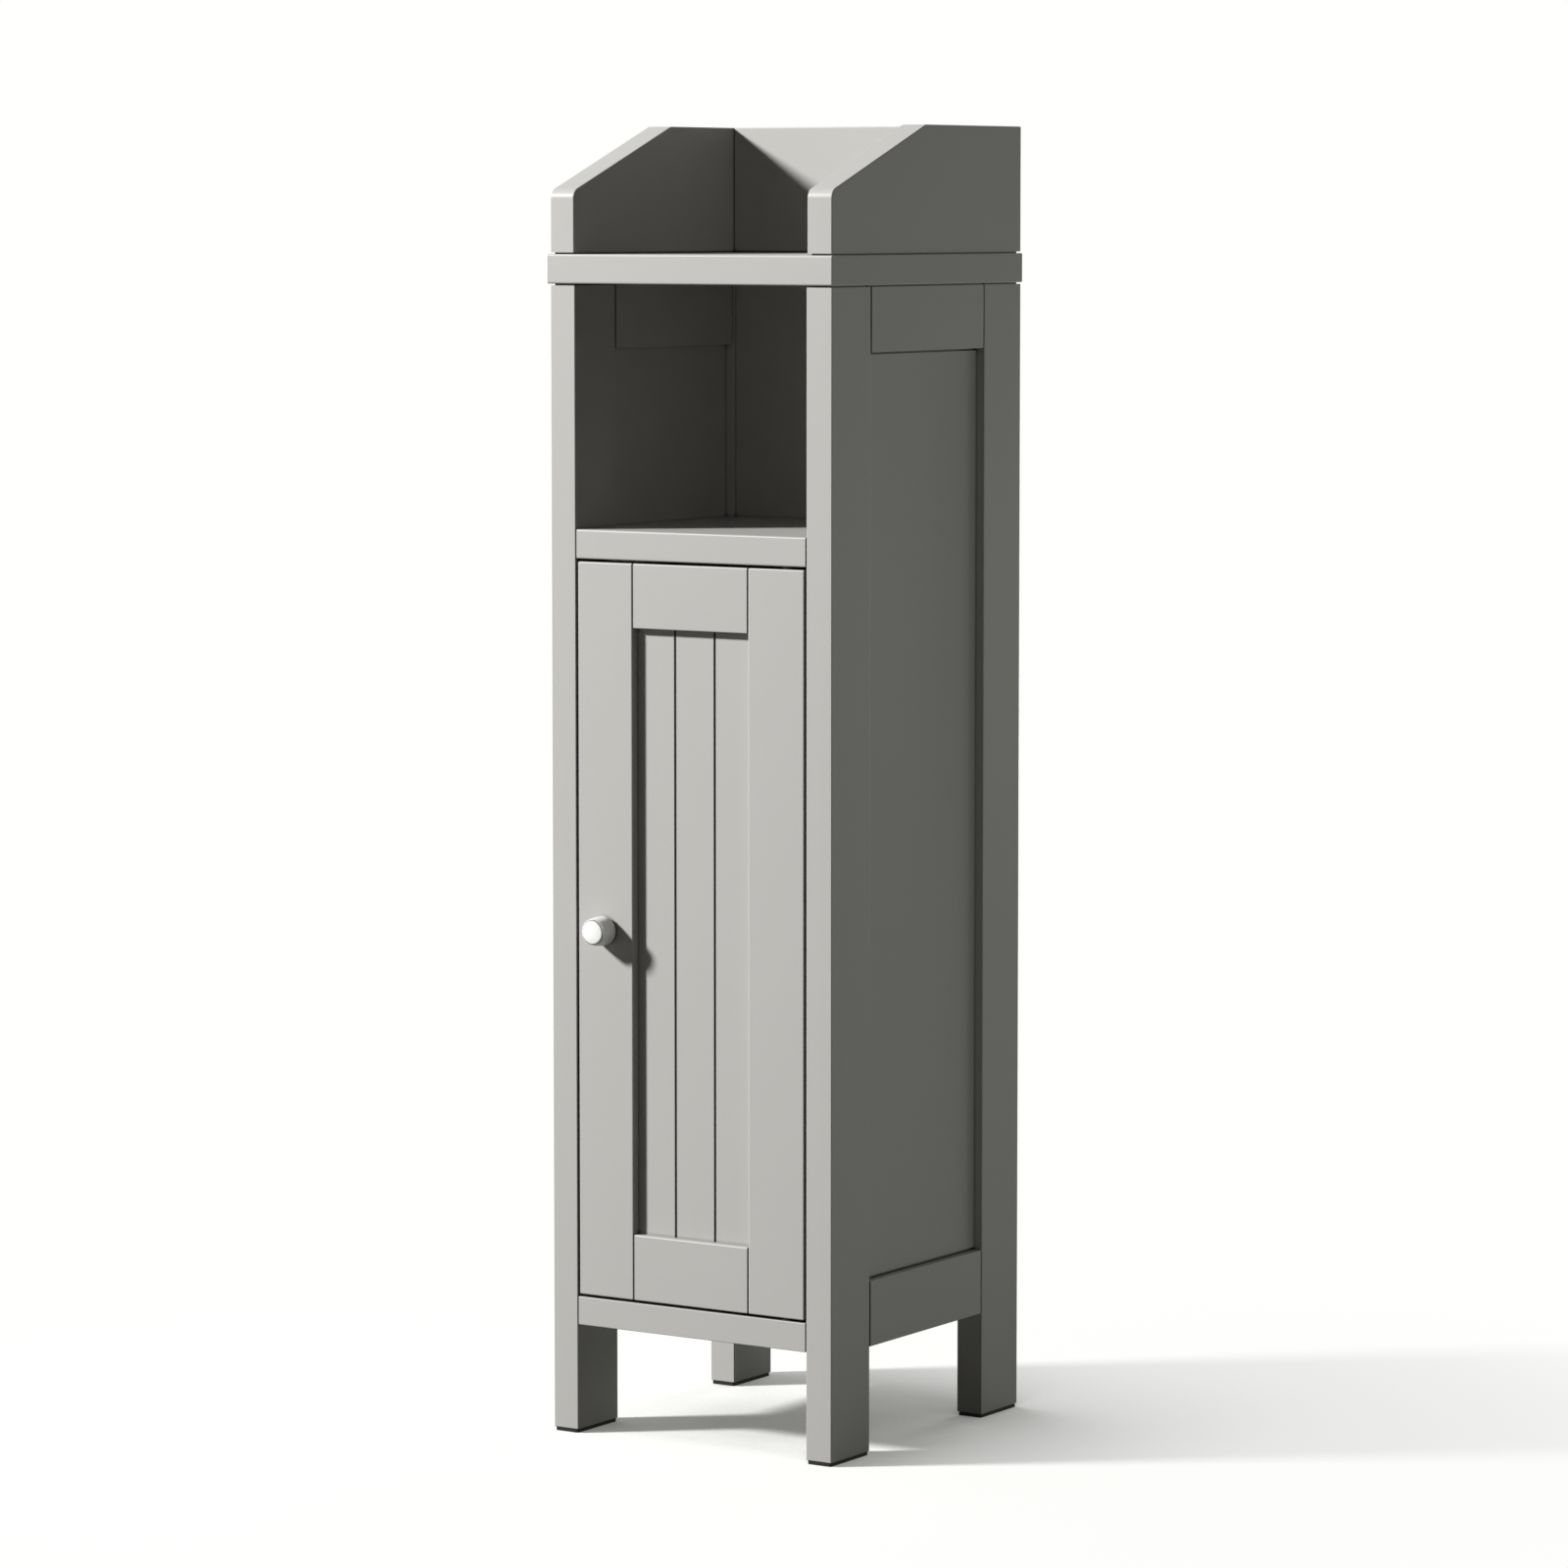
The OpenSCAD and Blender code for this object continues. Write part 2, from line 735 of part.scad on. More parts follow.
module pad() {
    w = leg_w - 2 * pad_inset;
    d = leg_d - 2 * pad_inset;
    difference() {
        translate([leg_in + pad_inset, pad_inset, 0])
            linear_extrude(pad_t) round_rect(w, d, pad_corner_r);
        at_pad_nails() pad_nail(fix_play);
    }
}

module front_right_pad() { color(black) in_frame() pad(); }
module front_left_pad() { color(black) in_frame() other_side() pad(); }
module back_right_pad() { color(black) in_frame() other_end() pad(); }
module back_left_pad() { color(black) in_frame() other_side() other_end() pad(); }

module pad_nails() {
    color(steel) in_frame() {
        at_pad_nails() pad_nail();
        other_side() at_pad_nails() pad_nail();
        other_end() at_pad_nails() pad_nail();
        other_side() other_end() at_pad_nails() pad_nail();
    }
}

// ---------------------------------------------------------------- fixings

module frame_dowels() { color(beech) in_frame() at_frame_dowels() dowel(); }

module guard_dowels() {
    color(beech) in_frame() {
        at_upright_dowels() dowel();
        at_level_dowels() dowel();
    }
}

// Cam lock with a cross slot in its underside and a way in for the bolt's head
module cam_lock(place) {
    difference() {
        cam(place);
        cam_bolt(place, fix_play);
        translate([leg_in - cam_in, place[0], place[1]])
            rotate([180, 0, 0]) cross_recess(cam_slot);
    }
}

module cam_locks() {
    color(steel) in_frame() for (place = cam_places) {
        cam_lock(place);
        other_side() cam_lock(place);
    }
}

module cam_bolts() {
    color(steel) in_frame() for (place = cam_places) {
        cam_bolt(place);
        other_side() cam_bolt(place);
    }
}

module sunk(l) {
    difference() {
        sunk_screw(l);
        cross_recess();
    }
}

module pan(l) {
    difference() {
        pan_screw(l);
        translate([0, 0, head_h]) cross_recess();
    }
}

module top_screws() { color(steel) in_frame() at_top_screws() sunk(long_screw_l); }
module back_panel_screws() { color(steel) in_frame() at_back_screws() sunk(mid_screw_l); }
module bracket_screws() { color(steel) in_frame() at_bracket_screws() pan(short_screw_l); }
module catch_screws() { color(steel) in_frame() at_catch_screws() pan(short_screw_l); }

module cleat_screws() {
    color(steel) in_frame() {
        at_cleat_screws() sunk(cleat_screw_l);
        other_side() at_cleat_screws() sunk(cleat_screw_l);
    }
}

// ---------------------------------------------------------------- hinge

// Hole for a bush, upwards from z = 0
module bush_hole() {
    translate([0, 0, -cut]) cylinder(h = bush_depth + cut + end_play, r = bush_r + fix_play);
}

// Bush upwards from z = 0, with its flange below
module bush() {
    difference() {
        union() {
            cylinder(h = bush_depth, r = bush_r);
            translate([0, 0, -bush_flange_t]) cylinder(h = bush_flange_t, r = bush_r + bush_flange);
        }
        translate([0, 0, -bush_flange_t - cut])
            cylinder(h = bush_depth + bush_flange_t + 2 * cut, r = pin_r + pin_play);
    }
}

// Pin upwards from the door's upper edge at z = 0, with its collar
module pin() {
    translate([0, 0, -pin_in]) cylinder(h = pin_in + pin_out - pin_tip, r = pin_r);
    cylinder(h = collar_t, r = collar_r);
    translate([0, 0, pin_out - pin_tip]) cylinder(h = pin_tip, r1 = pin_r, r2 = pin_r - pin_tip);
}

module pin_hole() {
    translate([0, 0, -pin_in - end_play])
        cylinder(h = pin_in + end_play + cut, r = pin_r + fix_play);
}

module upper_bush() { color(nylon) in_frame() at_pivot(shelf_z) bush(); }
module lower_bush() { color(nylon) in_frame() at_pivot(bottom_top) mirror([0, 0, 1]) bush(); }
module door_upper_pin() { color(black_steel) in_frame() at_pivot(door_top) pin(); }
module door_lower_pin() { color(black_steel) in_frame() at_pivot(door_z) mirror([0, 0, 1]) pin(); }

// ---------------------------------------------------------------- catch

module catch_body() {
    full_w = catch_w + 2 * lug_w;
    color(white) in_frame() difference() {
        union() {
            eased_box([catch_x - catch_w / 2, catch_y, shelf_z - catch_h],
                [catch_w, catch_d, catch_h]);
            translate([catch_x - full_w / 2, catch_y + lug_inset, shelf_z - lug_t])
                cube([full_w, catch_d - 2 * lug_inset, lug_t]);
        }
        translate([0, -cut, 0]) magnet_block(groove_play, cut);
        at_catch_screws() pan_screw(short_screw_l, fix_play);
    }
}

// The magnet between its keepers, flush with the catch's front face
module magnet_block(grow = 0, ahead = 0) {
    w = catch_w - 2 * catch_wall;
    d = catch_d - catch_wall;
    h = catch_h - 2 * catch_skin;
    translate([catch_x - w / 2 - grow, catch_y, shelf_z - catch_h + catch_skin - grow])
        cube([w + 2 * grow, d + ahead, h + 2 * grow]);
}

module catch_magnet() { color(steel) in_frame() magnet_block(); }

module strike_plate() {
    color(steel) in_frame() difference() {
        translate([catch_x - strike_w / 2, door_t, door_top - strike_drop - strike_h])
            cube([strike_w, strike_t, strike_h]);
        at_strike() sunk_screw(short_screw_l, fix_play);
    }
}

module strike_screw() { color(steel) in_frame() at_strike() sunk(short_screw_l); }

// ---------------------------------------------------------------- wall brackets

module bracket() {
    color(steel) in_frame() difference() {
        translate([bracket_pitch / 2 - bracket_w / 2, body_d - bracket_d, tray_z]) {
            cube([bracket_w, bracket_d, bracket_t]);
            translate([0, bracket_d - bracket_t, 0]) cube([bracket_w, bracket_t, bracket_h]);
        }
        rod([bracket_pitch / 2, body_d + cut, tray_z + wall_hole_z], [90, 0, 0],
            bracket_t + 2 * cut, wall_hole_r);
        at_bracket_screws() pan_screw(short_screw_l, fix_play);
    }
}

module right_wall_bracket() { bracket(); }
module left_wall_bracket() { other_side() bracket(); }

// ---------------------------------------------------------------- door

// Groove along the right-hand stile's inner edge, for the boards and the rails' tongues
module stile_groove() {
    translate([opening_half - cut, door_recess - groove_play, door_z - cut])
        cube([door_groove_d + cut, door_board_t + 2 * groove_play, door_h + 2 * cut]);
}

// Stile on the right
module stile() {
    difference() {
        eased_box([opening_half, 0, door_z], [stile_w, door_t, door_h]);
        stile_groove();
    }
}

module door_right_stile() {
    color(paint) in_frame() difference() {
        stile();
        at_pivot(door_top) pin_hole();
        at_pivot(door_z) mirror([0, 0, 1]) pin_hole();
    }
}

module door_left_stile() {
    color(paint) in_frame() difference() {
        other_side() stile();
        at_knob() translate([0, 0, -door_t - cut])
            cylinder(h = door_t + 2 * cut, r = screw_r + fix_play);
        at_strike() sunk_screw(short_screw_l, fix_play);
    }
}

// Door rail with its lower edge at z and its board groove about the level edge_z
module door_rail(z, h, edge_z) {
    length = opening_half + door_tongue;
    color(paint) in_frame() difference() {
        union() {
            eased_box([-opening_half, 0, z], [2 * opening_half, door_t, h]);
            translate([-length, door_recess, z]) cube([2 * length, door_board_t, h]);
        }
        translate([-length - cut, door_recess - groove_play, edge_z - door_groove_d])
            cube([2 * (length + cut), door_board_t + 2 * groove_play, 2 * door_groove_d]);
    }
}

module door_top_rail() {
    door_rail(door_top - door_top_h, door_top_h, door_top - door_top_h);
}

module door_bottom_rail() {
    door_rail(door_z, door_bottom_h, door_z + door_bottom_h);
}

// Board between x1 and x2 in the door, standing on the floor of the bottom rail's groove
module door_board(x1, x2) {
    low = door_z + door_bottom_h - door_groove_d;
    high = door_top - door_top_h + door_tongue;
    translate([x1, door_recess, low]) cube([x2 - x1, door_board_t, high - low]);
}

// Tongue from the board on the left of x; grown by its play it is the right board's groove
module board_joint(x, grow) {
    tongue_y = door_recess + (door_board_t - board_tongue_t) / 2;
    low = door_z + door_bottom_h - door_groove_d;
    high = door_top - door_top_h + door_tongue;
    translate([x - cut, tongue_y - grow, low])
        cube([board_tongue_l + cut + grow, board_tongue_t + 2 * grow, high - low]);
}

// Shallow groove that shows between two boards, half in each of their edges
module face_groove(x) {
    translate([x - groove_w / 2, door_recess - cut, 0])
        cube([groove_w, (door_board_t - board_tongue_t) / 2 + cut, leg_top]);
}

module door_left_board() {
    color(paint) in_frame() difference() {
        union() {
            door_board(-opening_half - door_tongue, -board_pitch / 2);
            board_joint(-board_pitch / 2, 0);
        }
        face_groove(-board_pitch / 2);
    }
}

module door_middle_board() {
    color(paint) in_frame() difference() {
        union() {
            door_board(-board_pitch / 2, board_pitch / 2);
            board_joint(board_pitch / 2, 0);
        }
        board_joint(-board_pitch / 2, groove_play);
        for (s = [-1, 1]) face_groove(s * board_pitch / 2);
    }
}

module door_right_board() {
    color(paint) in_frame() difference() {
        door_board(board_pitch / 2, opening_half + door_tongue);
        board_joint(board_pitch / 2, groove_play);
        face_groove(board_pitch / 2);
    }
}

// ---------------------------------------------------------------- knob

// Points of an arc about [x, y], from one angle to another
function arc(x, y, r, from, to) = [
    for (i = [0:knob_steps]) let (a = from + (to - from) * i / knob_steps)
        [x + r * cos(a), y + r * sin(a)]
];

// Half section of the knob: radius across, distance from the door up
module knob_section() {
    side_low = knob_neck_h + knob_lip;
    side_high = knob_reach - knob_face_t - knob_line - knob_lip;
    side = [
        for (i = [1:knob_steps - 1]) let (t = i / knob_steps)
            [knob_r + (knob_shoulder_r - knob_r) * t + knob_bulge * sin(180 * t),
                side_low + (side_high - side_low) * t]
    ];
    polygon(concat(
        [[0, 0], [knob_neck_r, 0], [knob_neck_r, knob_neck_h]],
        arc(knob_r - knob_lip, side_low, knob_lip, -90, 0),
        side,
        arc(knob_shoulder_r - knob_lip, side_high, knob_lip, 0, 60),
        [[knob_face_r - knob_line, knob_reach - knob_face_t - knob_line],
            [knob_face_r - knob_line, knob_reach - knob_face_t]],
        arc(knob_face_r - knob_face_edge, knob_reach - knob_face_edge, knob_face_edge, -30, 90),
        [[0, knob_reach]]
    ));
}

module knob() {
    color(white) in_frame() at_knob() difference() {
        rotate_extrude() knob_section();
        translate([0, 0, -cut]) cylinder(h = knob_sink + end_play + cut, r = screw_r + fix_play);
    }
}

module knob_screw() {
    color(steel) in_frame() at_knob()
        translate([0, 0, -door_t]) mirror([0, 0, 1]) pan(door_t + knob_sink);
}

// ---------------------------------------------------------------- nodes

front_left_leg();
front_right_leg();
back_left_leg();
back_right_leg();
left_top_rail();
right_top_rail();
left_bottom_rail();
right_bottom_rail();
left_side_panel();
right_side_panel();
back_panel();
top_board();
fixed_shelf();
bottom_board();
loose_shelf();
left_cleat();
right_cleat();
left_guard();
right_guard();
back_guard();
front_left_pad();
front_right_pad();
back_left_pad();
back_right_pad();
pad_nails();
frame_dowels();
guard_dowels();
cam_locks();
cam_bolts();
top_screws();
back_panel_screws();
cleat_screws();
upper_bush();
lower_bush();
catch_body();
catch_magnet();
catch_screws();
left_wall_bracket();
right_wall_bracket();
bracket_screws();
door_left_stile();
door_right_stile();
door_top_rail();
door_bottom_rail();
door_left_board();
door_middle_board();
door_right_board();
door_upper_pin();
door_lower_pin();
knob();
knob_screw();
strike_plate();
strike_screw();
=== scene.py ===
"""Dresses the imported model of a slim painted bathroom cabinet: joinery with rounded
edges, turned knob, hinge, catch, fixings and a plain studio. Metres, +Z up, front -Y."""

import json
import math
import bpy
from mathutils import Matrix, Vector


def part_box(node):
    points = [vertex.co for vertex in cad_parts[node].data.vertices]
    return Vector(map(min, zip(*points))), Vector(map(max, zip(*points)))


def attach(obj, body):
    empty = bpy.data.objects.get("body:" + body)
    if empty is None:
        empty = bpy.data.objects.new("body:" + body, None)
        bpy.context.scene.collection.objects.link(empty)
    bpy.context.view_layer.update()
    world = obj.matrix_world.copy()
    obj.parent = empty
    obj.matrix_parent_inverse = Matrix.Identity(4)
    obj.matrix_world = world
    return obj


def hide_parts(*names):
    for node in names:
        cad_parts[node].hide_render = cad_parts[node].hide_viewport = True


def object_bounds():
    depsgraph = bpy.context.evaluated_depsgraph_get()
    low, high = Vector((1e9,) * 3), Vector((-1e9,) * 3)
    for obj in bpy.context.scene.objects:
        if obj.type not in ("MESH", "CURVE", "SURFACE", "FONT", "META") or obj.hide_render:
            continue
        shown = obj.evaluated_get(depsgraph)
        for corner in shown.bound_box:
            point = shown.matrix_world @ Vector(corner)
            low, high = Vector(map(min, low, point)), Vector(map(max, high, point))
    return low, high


bl_info = {
    "name": "Slim Bathroom Cabinet",
    "version": (1, 0, 0),
    "blender": (4, 5, 0),
    "location": "View3D > Sidebar > Cabinet",
    "description": "Builds the painted joinery, hardware and studio of a slim bathroom cabinet",
    "category": "Object",
}

from functools import partialmethod

import bmesh
import bpy
from bpy.props import FloatProperty, FloatVectorProperty, PointerProperty
from mathutils import Matrix, Vector

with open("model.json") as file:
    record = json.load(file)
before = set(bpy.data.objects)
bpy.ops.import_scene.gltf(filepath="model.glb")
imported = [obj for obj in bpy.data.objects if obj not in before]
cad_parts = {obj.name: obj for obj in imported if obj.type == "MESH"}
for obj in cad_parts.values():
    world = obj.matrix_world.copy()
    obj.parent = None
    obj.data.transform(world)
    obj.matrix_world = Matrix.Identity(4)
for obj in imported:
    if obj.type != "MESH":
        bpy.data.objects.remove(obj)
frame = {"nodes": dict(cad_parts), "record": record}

MM = 0.001
NEAR = 1e-6  # distance below which two places are the same
BEYOND = 1 * MM  # how far a cutter runs out past what it cuts
LARGEST_ROUND = 4 * MM  # rounding of an edge whose weight is 1
FIT = 0.05 * MM  # play of a fixing in its hole
SHANK_R = 1.8 * MM
SLEEVE_R = 4.6 * MM
CAD_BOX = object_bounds()
BODY_OF = {
    node: body
    for body, nodes in frame["record"]["behaviour"]["bodies"].items()
    for node in nodes
}
MOUNTS = {mount["name"]: mount for mount in frame["record"]["mounts"]}
BACKGROUND = (1, 1, 0.985)
X, Y, Z = Vector((1, 0, 0)), Vector((0, 1, 0)), Vector((0, 0, 1))
SIDES = ("left", "right")


def mm(*values):
    """Lengths in metres from millimetres."""
    return [value * MM for value in values]


# --- settings


def setting(name, description, default, **more):
    """A number that a user can change, or a vector or colour."""
    kind = FloatVectorProperty if isinstance(default, tuple) else FloatProperty
    return kind(name=name, description=description, default=default, **more)


def metric(name, description, millimetres):
    return setting(name, description, millimetres * MM, unit="LENGTH")


def tint(name, description, default):
    return setting(name, description, default, subtype="COLOR", min=0, max=1)


class CabinetJoinery(bpy.types.PropertyGroup):
    """Sizes of the woodwork's edges and joints"""

    edge_round: metric("Edge rounding", "Rounding of the edges of legs, rails and boards", 0.8)
    door_round: metric("Door edge rounding", "Rounding of the edges of the door's frame", 1.5)
    nosing_round: metric(
        "Nosing", "Rounding of the front edges of the top board and the shelves", 1.8)
    guard_round: metric(
        "Guard edge rounding", "Rounding along the edges of the tray's guards", 1.1)
    guard_front: metric(
        "Guard front height", "Height at which the slope would meet the front", 56.4)
    guard_run: metric("Guard slope run", "Length of the guards' slope, front to back", 156.3)
    guard_corner: metric("Guard corner", "Rounding of the guards' front corner", 10)
    guard_crest: metric("Guard crest", "Rounding between the slope and the level edge", 12)
    play: metric("Groove play", "Play of panels and tongues in their grooves", 0.1)
    end_play: metric("End play", "Room left past the end of tongues", 0.5)
    joint_line: metric("Joint line", "Width of the dark line where two pieces meet", 1.1)
    rail_line: metric("Rail line", "Width of the dark line between a side rail and a leg", 1.8)
    seat_line: metric(
        "Seat line", "Height of the dark line under the top board and the guards", 1.5)
    panel_line: metric(
        "Panel line", "Height of the dark line between a side panel and its rails", 2.2)
    joint_depth: metric("Joint line depth", "Depth of the line where two pieces meet", 3)
    board_groove: metric(
        "Board groove", "Width of the groove that shows between two door boards", 2.2)
    board_round: metric(
        "Board groove rounding", "Rounding of the edges of the boards' grooves", 0.25)


class CabinetFinishes(bpy.types.PropertyGroup):
    """Colours and gloss of the finishes"""

    paint: tint("Paint", "Warm mid grey of the sprayed paint", (0.460, 0.454, 0.438))
    paint_roughness: setting("Paint roughness", "Satin of the paint", 0.42, min=0, max=1)
    knob: tint("Knob", "White of the knob", (0.94, 0.935, 0.91))
    pad: tint("Foot pads", "Black of the glide pads", (0.012, 0.012, 0.012))


class CabinetStudio(bpy.types.PropertyGroup):
    """Camera and light"""

    camera_place: setting(
        "Camera", "Place of the camera",
        (2.9584, -4.5527, 1.1141), subtype="TRANSLATION", unit="LENGTH")
    camera_turn: setting(
        "Camera turn", "Turn of the camera to the left of straight ahead", 0.5758, unit="ROTATION")
    camera_tilt: setting("Camera tilt", "Tilt of the camera below level", 0.0885, unit="ROTATION")
    lens: setting("Lens", "Focal length on a sensor 36 mm wide, in millimetres", 137.14)
    shift: setting("Shift", "Upright shift of the lens", -0.03)
    key_way: setting(
        "Key light's way", "Way in which the key light travels", (1.2, 1.0, -0.86), subtype="XYZ")
    key_distance: setting("Key distance", "Distance of the key light", 8.0, unit="LENGTH")
    key_size: setting("Key size", "Width of the key light", 1.0, unit="LENGTH")
    key_watts: setting("Key power", "Power of the key light that bounces on, in watts", 560)
    direct_watts: setting("Direct power", "Power of the key light that doesn't, in watts", 600)
    fill_way: setting(
        "Side fill's way", "Way in which the side fill light travels",
        (-1.0, -0.12, 0.0), subtype="XYZ")
    fill_distance: setting("Fill distance", "Distance of the fill lights", 2.3, unit="LENGTH")
    fill_size: setting("Fill size", "Width of the fill lights", 0.9, unit="LENGTH")
    side_watts: setting("Side fill power", "Power of the side fill light, in watts", 4.0)
    rear_watts: setting("Rear fill power", "Power of the light behind, in watts", 16)
    sky: setting("Sky", "Strength of the soft light from all round", 0.03)


def joinery():
    return bpy.context.scene.cabinet_joinery


def finishes():
    return bpy.context.scene.cabinet_finishes


def studio():
    return bpy.context.scene.cabinet_studio


# --- shader nodes


class Tone:
    """One output of a node. Sums of tones add Math nodes."""

    def __init__(self, nodes, socket):
        self.nodes = nodes
        self.socket = socket

    def _maths(self, operation, other):
        return self.nodes.node("Math", {"operation": operation}, {0: self, 1: other})

    __add__ = __radd__ = partialmethod(_maths, "ADD")
    __sub__ = partialmethod(_maths, "SUBTRACT")
    __mul__ = partialmethod(_maths, "MULTIPLY")
    at_least = partialmethod(_maths, "MAXIMUM")
    at_most = partialmethod(_maths, "MINIMUM")

    def stretched(self, *factors):
        """A vector with each component times its own factor."""
        return self.nodes.node(
            "VectorMath", {"operation": "MULTIPLY"}, {0: self, 1: factors}, "Vector")

    def length(self):
        return self.nodes.node("VectorMath", {"operation": "LENGTH"}, {0: self}, "Value")


class Nodes:
    """The nodes of a material or of the sky."""

    def __init__(self, tree):
        self.tree = tree

    def node(self, kind, settings=None, inputs=None, output=0):
        """Adds a shader node, sets it up and feeds its sockets; returns one of its outputs."""
        node = self.tree.nodes.new("ShaderNode" + kind)
        for key, value in (settings or {}).items():
            if key == "stops":
                self._set_stops(node.color_ramp, value)
            else:
                setattr(node, key, value)
        for key, value in (inputs or {}).items():
            self.feed(self._socket(node.inputs, key), value)
        return Tone(self, self._socket(node.outputs, output))

    @staticmethod
    def _set_stops(ramp, stops):
        while len(ramp.elements) < len(stops):
            ramp.elements.new(1)
        for element, (position, value) in zip(ramp.elements, stops):
            element.position = position
            element.color = (value, value, value, 1)

    @staticmethod
    def _socket(sockets, key):
        if isinstance(key, int):
            return sockets[key]
        return next((s for s in sockets if s.identifier == key), None) or sockets[key]

    def feed(self, socket, value):
        """Links a tone to a socket, or sets a number, colour or vector on it."""
        if isinstance(value, Tone):
            self.tree.links.new(value.socket, socket)
        elif socket.type == "RGBA":
            socket.default_value = (*value[:3], 1)
        else:
            socket.default_value = value

    def mixed(self, share, first, second):
        """Mix of two shaders; share is how much there is of the second."""
        return self.node("MixShader", {}, {0: share, 1: first, 2: second})

    def seen_straight(self):
        """1 for what the camera, a mirror or clear glass sees, 0 for what lights a surface."""
        rays = [self.node("LightPath", output=f"Is {kind} Ray")
                for kind in ("Camera", "Glossy", "Transmission")]
        return rays[0].at_least(rays[1]).at_least(rays[2])


class Finish(Nodes):
    """A material and the nodes that feed its shader."""

    def __init__(self, name):
        self.material = bpy.data.materials.new(name)
        self.material.use_nodes = True
        super().__init__(self.material.node_tree)
        self.shader = self.tree.nodes["Principled BSDF"]

    def wear(self, **sockets):
        """Sets sockets of the Principled shader, named with _ for a space."""
        for key, value in sockets.items():
            self.feed(self.shader.inputs[key.replace("_", " ")], value)
        return self

    def place(self):
        """Place on the piece, in metres."""
        return self.node("TexCoord", output="Object")

    def noise(self, place, scale, detail=2.0, roughness=0.5):
        return self.node(
            "TexNoise", {"noise_dimensions": "3D"},
            {"Vector": place, "Scale": scale, "Detail": detail, "Roughness": roughness}, "Fac")

    def ramp(self, stops, value):
        """Grey of a ramp with the given (position, grey) stops."""
        return self.node("ValToRGB", {"stops": stops}, {"Fac": value}, "Color")

    def blend(self, first, second, share):
        """Mix of two colours; share is how much there is of the second."""
        return self.node(
            "Mix", {"data_type": "RGBA"},
            {"Factor_Float": share, "A_Color": first, "B_Color": second}, "Result_Color")

    def openness(self, reach, least=0.1, full=0.72):
        """How open the surface is within reach, from ambient occlusion: 0 deep in a gap, 1 out on
        a face. It masks the painted shade, and on the floor the painted light.
        """
        ao = self.node("AmbientOcclusion", {"samples": 8}, {"Distance": reach}, "AO")
        return ((ao - least) * (1 / (full - least))).at_least(0).at_most(1)

    def relief(self, height, depth):
        """Bump whose height of 1 stands up by depth."""
        inputs = {"Height": height, "Distance": depth, "Strength": 1.0}
        return self.node("Bump", {}, inputs, "Normal")


def shade_of(colour, factor):
    return tuple(min(1, c * factor) for c in colour)


# --- finishes


def painted_wood(name):
    """Satin sprayed paint over wood grain along the axis that ends the name; its colour carries
    painted shade, darkening it deep in joints, gaps and inner corners."""
    made = Finish(name)
    place = made.place()
    along = {"X": (0.06, 1, 1), "Y": (1, 0.06, 1), "Z": (1, 1, 0.06)}[name[-1]]
    fibre = made.noise(place.stretched(*along), 330, 4, 0.6)
    cloud = made.noise(place, 7, 2)
    mist = made.noise(place, 60, 3)
    peel = made.noise(place, 850, 1)
    base = tuple(finishes().paint)
    tone = cloud * 0.5 + mist * 0.2 + fibre * 0.3
    coat = made.blend(shade_of(base, 0.975), shade_of(base, 1.025), tone)
    return made.wear(
        # Painted shade: the colour darkens to 0.12 of the paint where ambient occlusion within 6
        # mm is low, in gaps, grooves and inner corners
        Base_Color=made.blend(shade_of(base, 0.12), coat, made.openness(6 * MM)),
        Roughness=finishes().paint_roughness - 0.05 + mist * 0.06 + fibre * 0.04,
        Specular_IOR_Level=0.3,
        Normal=made.relief(fibre * 0.6 + peel * 0.4, 0.03 * MM))


def knob_white(name):
    """Gloss white that lets a little light through, with painted shade that greys it deep in the
    line round the face.
    """
    made = Finish(name)
    place = made.place()
    cloud = made.noise(place, 180, 2)
    base = tuple(finishes().knob)
    coat = made.blend(shade_of(base, 0.985), base, cloud)
    return made.wear(
        # Painted shade: grey where ambient occlusion within 2.5 mm is low, deep in the line round
        # the face
        Base_Color=made.blend((0.2, 0.195, 0.18), coat, made.openness(2.5 * MM)),
        Roughness=0.3 + cloud * 0.05,
        Subsurface_Weight=0.5,
        Subsurface_Radius=(1, 1, 0.94),
        Subsurface_Scale=16 * MM,
        Normal=made.relief(made.noise(place, 700, 1), 0.01 * MM))


def zinc_steel(name):
    """Bright zinc plate with the faint blue-yellow drift of its chromate."""
    made = Finish(name)
    place = made.place()
    drift = made.noise(place, 140, 3)
    scratch = made.noise(place.stretched(1, 1, 0.08), 3200, 2)
    return made.wear(
        Base_Color=made.blend((0.60, 0.62, 0.65), (0.70, 0.68, 0.62), drift),
        Metallic=1.0,
        Roughness=0.26 + drift * 0.12 + scratch * 0.08,
        Normal=made.relief(scratch, 0.006 * MM))


def beech(name):
    """Bare beech with short dark rays."""
    made = Finish(name)
    place = made.place()
    grain = made.noise(place.stretched(0.12, 1, 1), 900, 4)
    rays = made.noise(place.stretched(0.3, 1, 1), 2400, 1)
    fleck = ((rays - 0.62) * 9).at_least(0).at_most(1)
    wood = made.blend((0.66, 0.46, 0.27), (0.52, 0.34, 0.19), grain)
    return made.wear(
        Base_Color=made.blend(wood, (0.34, 0.20, 0.10), fleck * 0.7),
        Roughness=0.65 + grain * 0.15,
        Normal=made.relief(grain, 0.08 * MM))


def grainy(name, colours, grain, gloss, depth, **constants):
    """Plain finish. One grain, noise of a scale and a detail, drifts between two colours,
    adds to the first gloss up to the second's worth and stands up by depth."""
    made = Finish(name)
    grit = made.noise(made.place(), *grain)
    return made.wear(
        Base_Color=made.blend(*colours, grit),
        Roughness=gloss[0] + grit * gloss[1],
        Normal=made.relief(grit, depth), **constants)


def foot_pad(name):
    base = tuple(finishes().pad)
    return grainy(name, (base, shade_of(base, 2.2)), (2600, 2), (0.6, 0.2), 0.06 * MM,
                  Specular_IOR_Level=0.2)


def pin_steel(name):
    """Steel blackened in a hot bath, with bare metal just showing through."""
    return grainy(name, ((0.035, 0.035, 0.04), (0.11, 0.11, 0.115)), (900, 3),
                  (0.5, -0.12), 0.01 * MM, Metallic=1.0)


